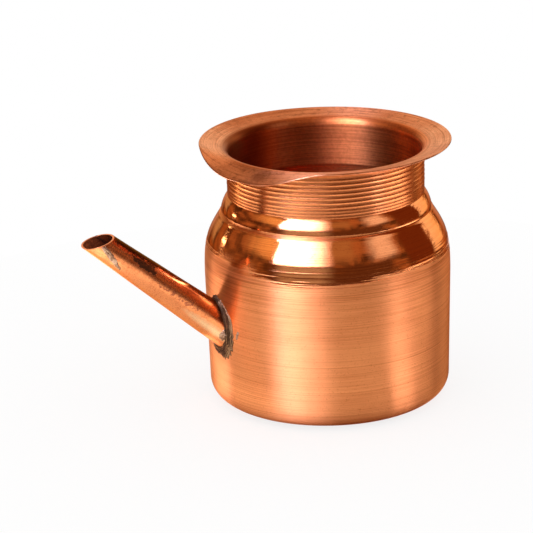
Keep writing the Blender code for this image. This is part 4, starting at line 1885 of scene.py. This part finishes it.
@dataclass(frozen=True)
class Studio:
    """White world, pale table, dark room in front and soft cards round the pot.

    Attributes:
        camera_heading: Heading of the camera seen from the pot, in degrees.
        table_rings: Radii of the table's rings of points, in metres.
        table_drop: How far the table lies under the base, in millimetres.
        table_paint: Grey of the table.
        table_glow: Share of the table that is plain white where it is seen.
        columns: Points round the table and round the room.
        room: Middle colour of the room's walls.
        room_range: Darkest and lightest of their colour, times the middle one.
        room_clutter: Features of the walls' noise to a metre.
        room_levels: Noise at the darkest and at the lightest.
        room_radius: Radius of the room in metres.
        room_rise: Degrees to which the room's rows go up and down.
        room_rows: Rows of the room.
        mats: Mats on the table.
        cards: Cards round the pot.
    """

    camera_heading: float = 243.6
    table_rings: tuple[float, ...] = (0.02, 0.05, 0.1, 0.22)
    table_drop: float = 0.05
    table_paint: Colour = (0.97, 0.97, 0.97)
    table_glow: float = 0.8
    columns: tuple[int, int] = (96, 48)
    room: Colour = (0.28, 0.14, 0.065)
    room_range: Span = (0.3, 1.7)
    room_clutter: float = 1.1
    room_levels: Span = (0.36, 0.64)
    room_radius: float = 4.0
    room_rise: float = 85.0
    room_rows: int = 24
    mats: tuple[Mat, ...] = (
        Mat("front_mat", (-30.0, 66.0), (1.55, 1.55, 1.55), (25.0, 14.0), 0.4, (6.0, 120.0)),
        Mat("left_mat", (-112.0, -8.0), (2.45, 2.6, 2.75), (12.0, 34.0), 0.8, (60.0, 180.0)),
        Mat("near_left_mat", (-112.0, -30.0), (1.5, 1.5, 1.5), (12.0, 20.0), 0.5, (11.0, 12.0),
            rise=19.0),
        Mat("right_mat", (58.0, 100.0), (3.9, 4.0, 4.9), (9.0, 26.0), 1.2),
        Mat("right_rest_mat", (82.0, 121.0), (2.2, 2.2, 2.2), (10.0, 38.0), 1.1, (56.0, 180.0)),
        Mat("right_top_mat", (76.0, 130.0), (4.2, 4.3, 4.6), (14.0, 22.0), 1.3, (118.0, 215.0)),
        Mat("far_left_mat", (-152.0, -106.0), (5.6, 5.6, 7.0), (18.0, 12.0), 1.6, (76.0, 180.0)),
        Mat("root_mat", (-150.0, -104.0), (2.3, 2.3, 2.9), (16.0, 12.0), 0.4, (10.0, 11.0),
            rise=24.0),
        Mat("dark_back_mat", (104.0, 220.0), (0.1, 0.04, 0.016), (22.0, 10.0), 2.0),
        Mat("shade_mat", (-180.0, 180.0), (0.16, 0.065, 0.025), (0.5, 0.5), 0.3, (-14.0, 8.5)),
    )
    cards: tuple[Card, ...] = (
        Card("key_card", (-57.5, 10.0), (20.0, 60.0), 12.0, (9.0, 50.0, 6.0, 8.0),
             (0.93, 1.0, 1.5), ragged=2.5),
        Card("key_core_card", (-59.0, -40.0), (60.0, 86.0), 20.0, (4.0, 9.0, 4.0, 4.0),
             (0.88, 1.0, 1.6)),
        Card("key_peak_card", (-57.5, -36.0), (20.0, 60.0), 14.0, (7.0, 16.0, 6.0, 8.0),
             (0.8, 1.0, 1.9), 1.25, ragged=2.5),
        Card("key_glow_card", (-104.0, -40.0), (21.0, 52.0), 1.05, (40.0, 10.0, 10.0, 10.0),
             (1.0, 0.74, 0.4), 1.4, ragged=4.0),
        Card("key_rest_card", (-6.0, 36.0), (22.0, 56.0), 0.46, (10.0, 14.0, 16.0, 10.0),
             (1.0, 0.66, 0.36), 1.4),
        Card("left_edge_card", (-166.0, -134.0), (-4.0, 22.0), 0.6, (8.0, 6.0, 6.0, 8.0),
             ragged=4.0),
        Card("key_foot_card", (-52.0, 10.0), (-8.0, 20.0), 0.52, (14.0, 20.0, 8.0, 4.0)),
        Card("right_card", (40.0, 80.0), (21.0, 55.0), 1.05, (18.0, 12.0, 6.0, 12.0),
             (1.0, 1.0, 1.15), ragged=4.0),
        Card("back_left_card", (-109.0, -99.5), (17.7, 21.1), 12.0, (3.0, 3.0, 1.2, 1.2),
             distance=0.132),
        Card("back_right_card", (117.0, 148.0), (-6.0, 34.0), 1.22, (3.0, 5.0, 3.0, 8.0),
             ragged=9.0),
        Card("spout_glint_card", (-59.6, -57.0), (13.0, 34.0), 9.0, (0.8, 0.8, 3.0, 3.0),
             (1.0, 0.8, 0.6), 0.056, slant=0.52, outward=True),
        Card("root_glint_card", (-58.8, -56.2), (4.0, 13.0), 8.0, (0.8, 0.8, 2.0, 2.0),
             (1.0, 0.75, 0.5), 0.0485, outward=True),
        Card("back_card", (148.0, 212.0), (2.0, 34.0), 1.0, (12.0, 12.0, 6.0, 8.0)),
        Card("back_high_card", (148.0, 212.0), (24.0, 64.0), 1.0, (12.0, 12.0, 8.0, 14.0),
             (1.0, 0.68, 0.45), 1.4),
        Card("back_low_card", (148.0, 212.0), (-14.0, 10.0), 0.62, (12.0, 12.0, 10.0, 6.0),
             (1.0, 0.8, 0.66), 1.4),
        Card("top_card", (-180.0, 180.0), (62.0, 89.0), 0.5, (0.5, 0.5, 10.0, 0.5),
             (1.0, 0.62, 0.34), 1.7),
        Card("dark_front_card", (-66.0, 70.0), (-30.0, 24.0), 1.0, (14.0, 14.0, 4.0, 6.0),
             (0.13, 0.062, 0.031), 1.6, ragged=3.0),
        Card("dark_right_card", (79.0, 120.0), (-8.0, 84.0), 1.0, (7.0, 6.0, 6.0, 14.0),
             (0.17, 0.05, 0.016), 1.6, ragged=3.0),
    )

    def build(self) -> None:
        """Make the world, the table, the room, the mats and the cards."""
        bpy.context.scene.view_settings.view_transform = "Standard"
        self.world()
        self.table()
        self.dark_room()
        for item in (*self.mats, *self.cards):
            item.build(self.camera_heading)

    def world(self) -> None:
        """White all round, for the camera, in reflections and as light."""
        world = bpy.data.worlds.new("white_world")
        world.use_nodes = True
        world.node_tree.nodes["Background"].inputs["Color"].default_value = (1.0, 1.0, 1.0, 1.0)
        bpy.context.scene.world = world

    def table(self) -> None:
        """A pale round table top, white where it is seen, with the pot's soft shadow."""
        radius = np.array(self.table_rings)[:, None] / MM
        rows = polar(radius, around(self.columns[0]), -self.table_drop)
        middle = np.array([0.0, 0.0, -self.table_drop])
        surface = GridSurface("table_top", rows, first_pole=middle, flip=True)
        sheet = NodeSheet("table_white")
        paint = sheet.node("ShaderNodeBsdfDiffuse", {"Color": self.table_paint}).outputs[0]
        share = sheet.times(sheet.seen(), self.table_glow)
        white = sheet.glow((1.0, 1.0, 1.0))
        sheet.plain(sheet.either(share, paint, white))
        surface.piece(sheet.material)

    def dark_room(self) -> None:
        """A dark room round the studio, seen only in reflections."""
        rise = np.radians(np.linspace(-self.room_rise, self.room_rise, self.room_rows))[:, None]
        rows = polar(np.cos(rise), around(self.columns[1]), np.sin(rise)) * self.room_radius / MM
        top = np.array([0.0, 0.0, self.room_radius]) / MM
        surface = GridSurface("dark_room", rows, first_pole=-top, last_pole=top, flip=True)
        only_reflected(surface.piece(self.room_walls()))

    def room_walls(self) -> Finish:
        """Brown walls with darker and lighter things before them."""
        sheet = NodeSheet("dark_room")
        clutter = sheet.step(sheet.noise(sheet.place(), self.room_clutter, 4.0), *self.room_levels)
        dark, light = (tuple(level * part for part in self.room) for level in self.room_range)
        return sheet.plain(sheet.glow(sheet.blend(clutter, dark, light)))


@dataclass(frozen=True)
class WaterPot:
    """The whole object: vessel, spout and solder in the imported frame."""

    vessel: Vessel = Vessel()

    def build(self) -> list[Item]:
        """Make every piece and let it ride on the frame."""
        spout = Spout(self.vessel)
        solder = RootSolder(self.vessel, spout)
        pieces = [self.vessel.build(spout), *spout.build(), *solder.build()]
        for item in pieces:
            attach(item, BODY)
            LOG.info("%s: %d faces", item.name, len(item.data.polygons))
        return pieces


def corners(box: tuple[Vector, Vector]) -> list[list[float]]:
    """A box as plain lists of numbers."""
    return [list(corner) for corner in box]


def main() -> None:
    """Load the frame, and build the pot and its studio."""
    logging.basicConfig(level=logging.INFO, format="%(name)s: %(message)s")
    for item in list(bpy.data.objects):
        bpy.data.objects.remove(item)
    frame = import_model()
    LOG.info("frame nodes: %s", ", ".join(sorted(frame["nodes"])))
    PhotoCamera().build()
    WaterPot().build()
    Studio().build()


if __name__ == "__main__":
    main()
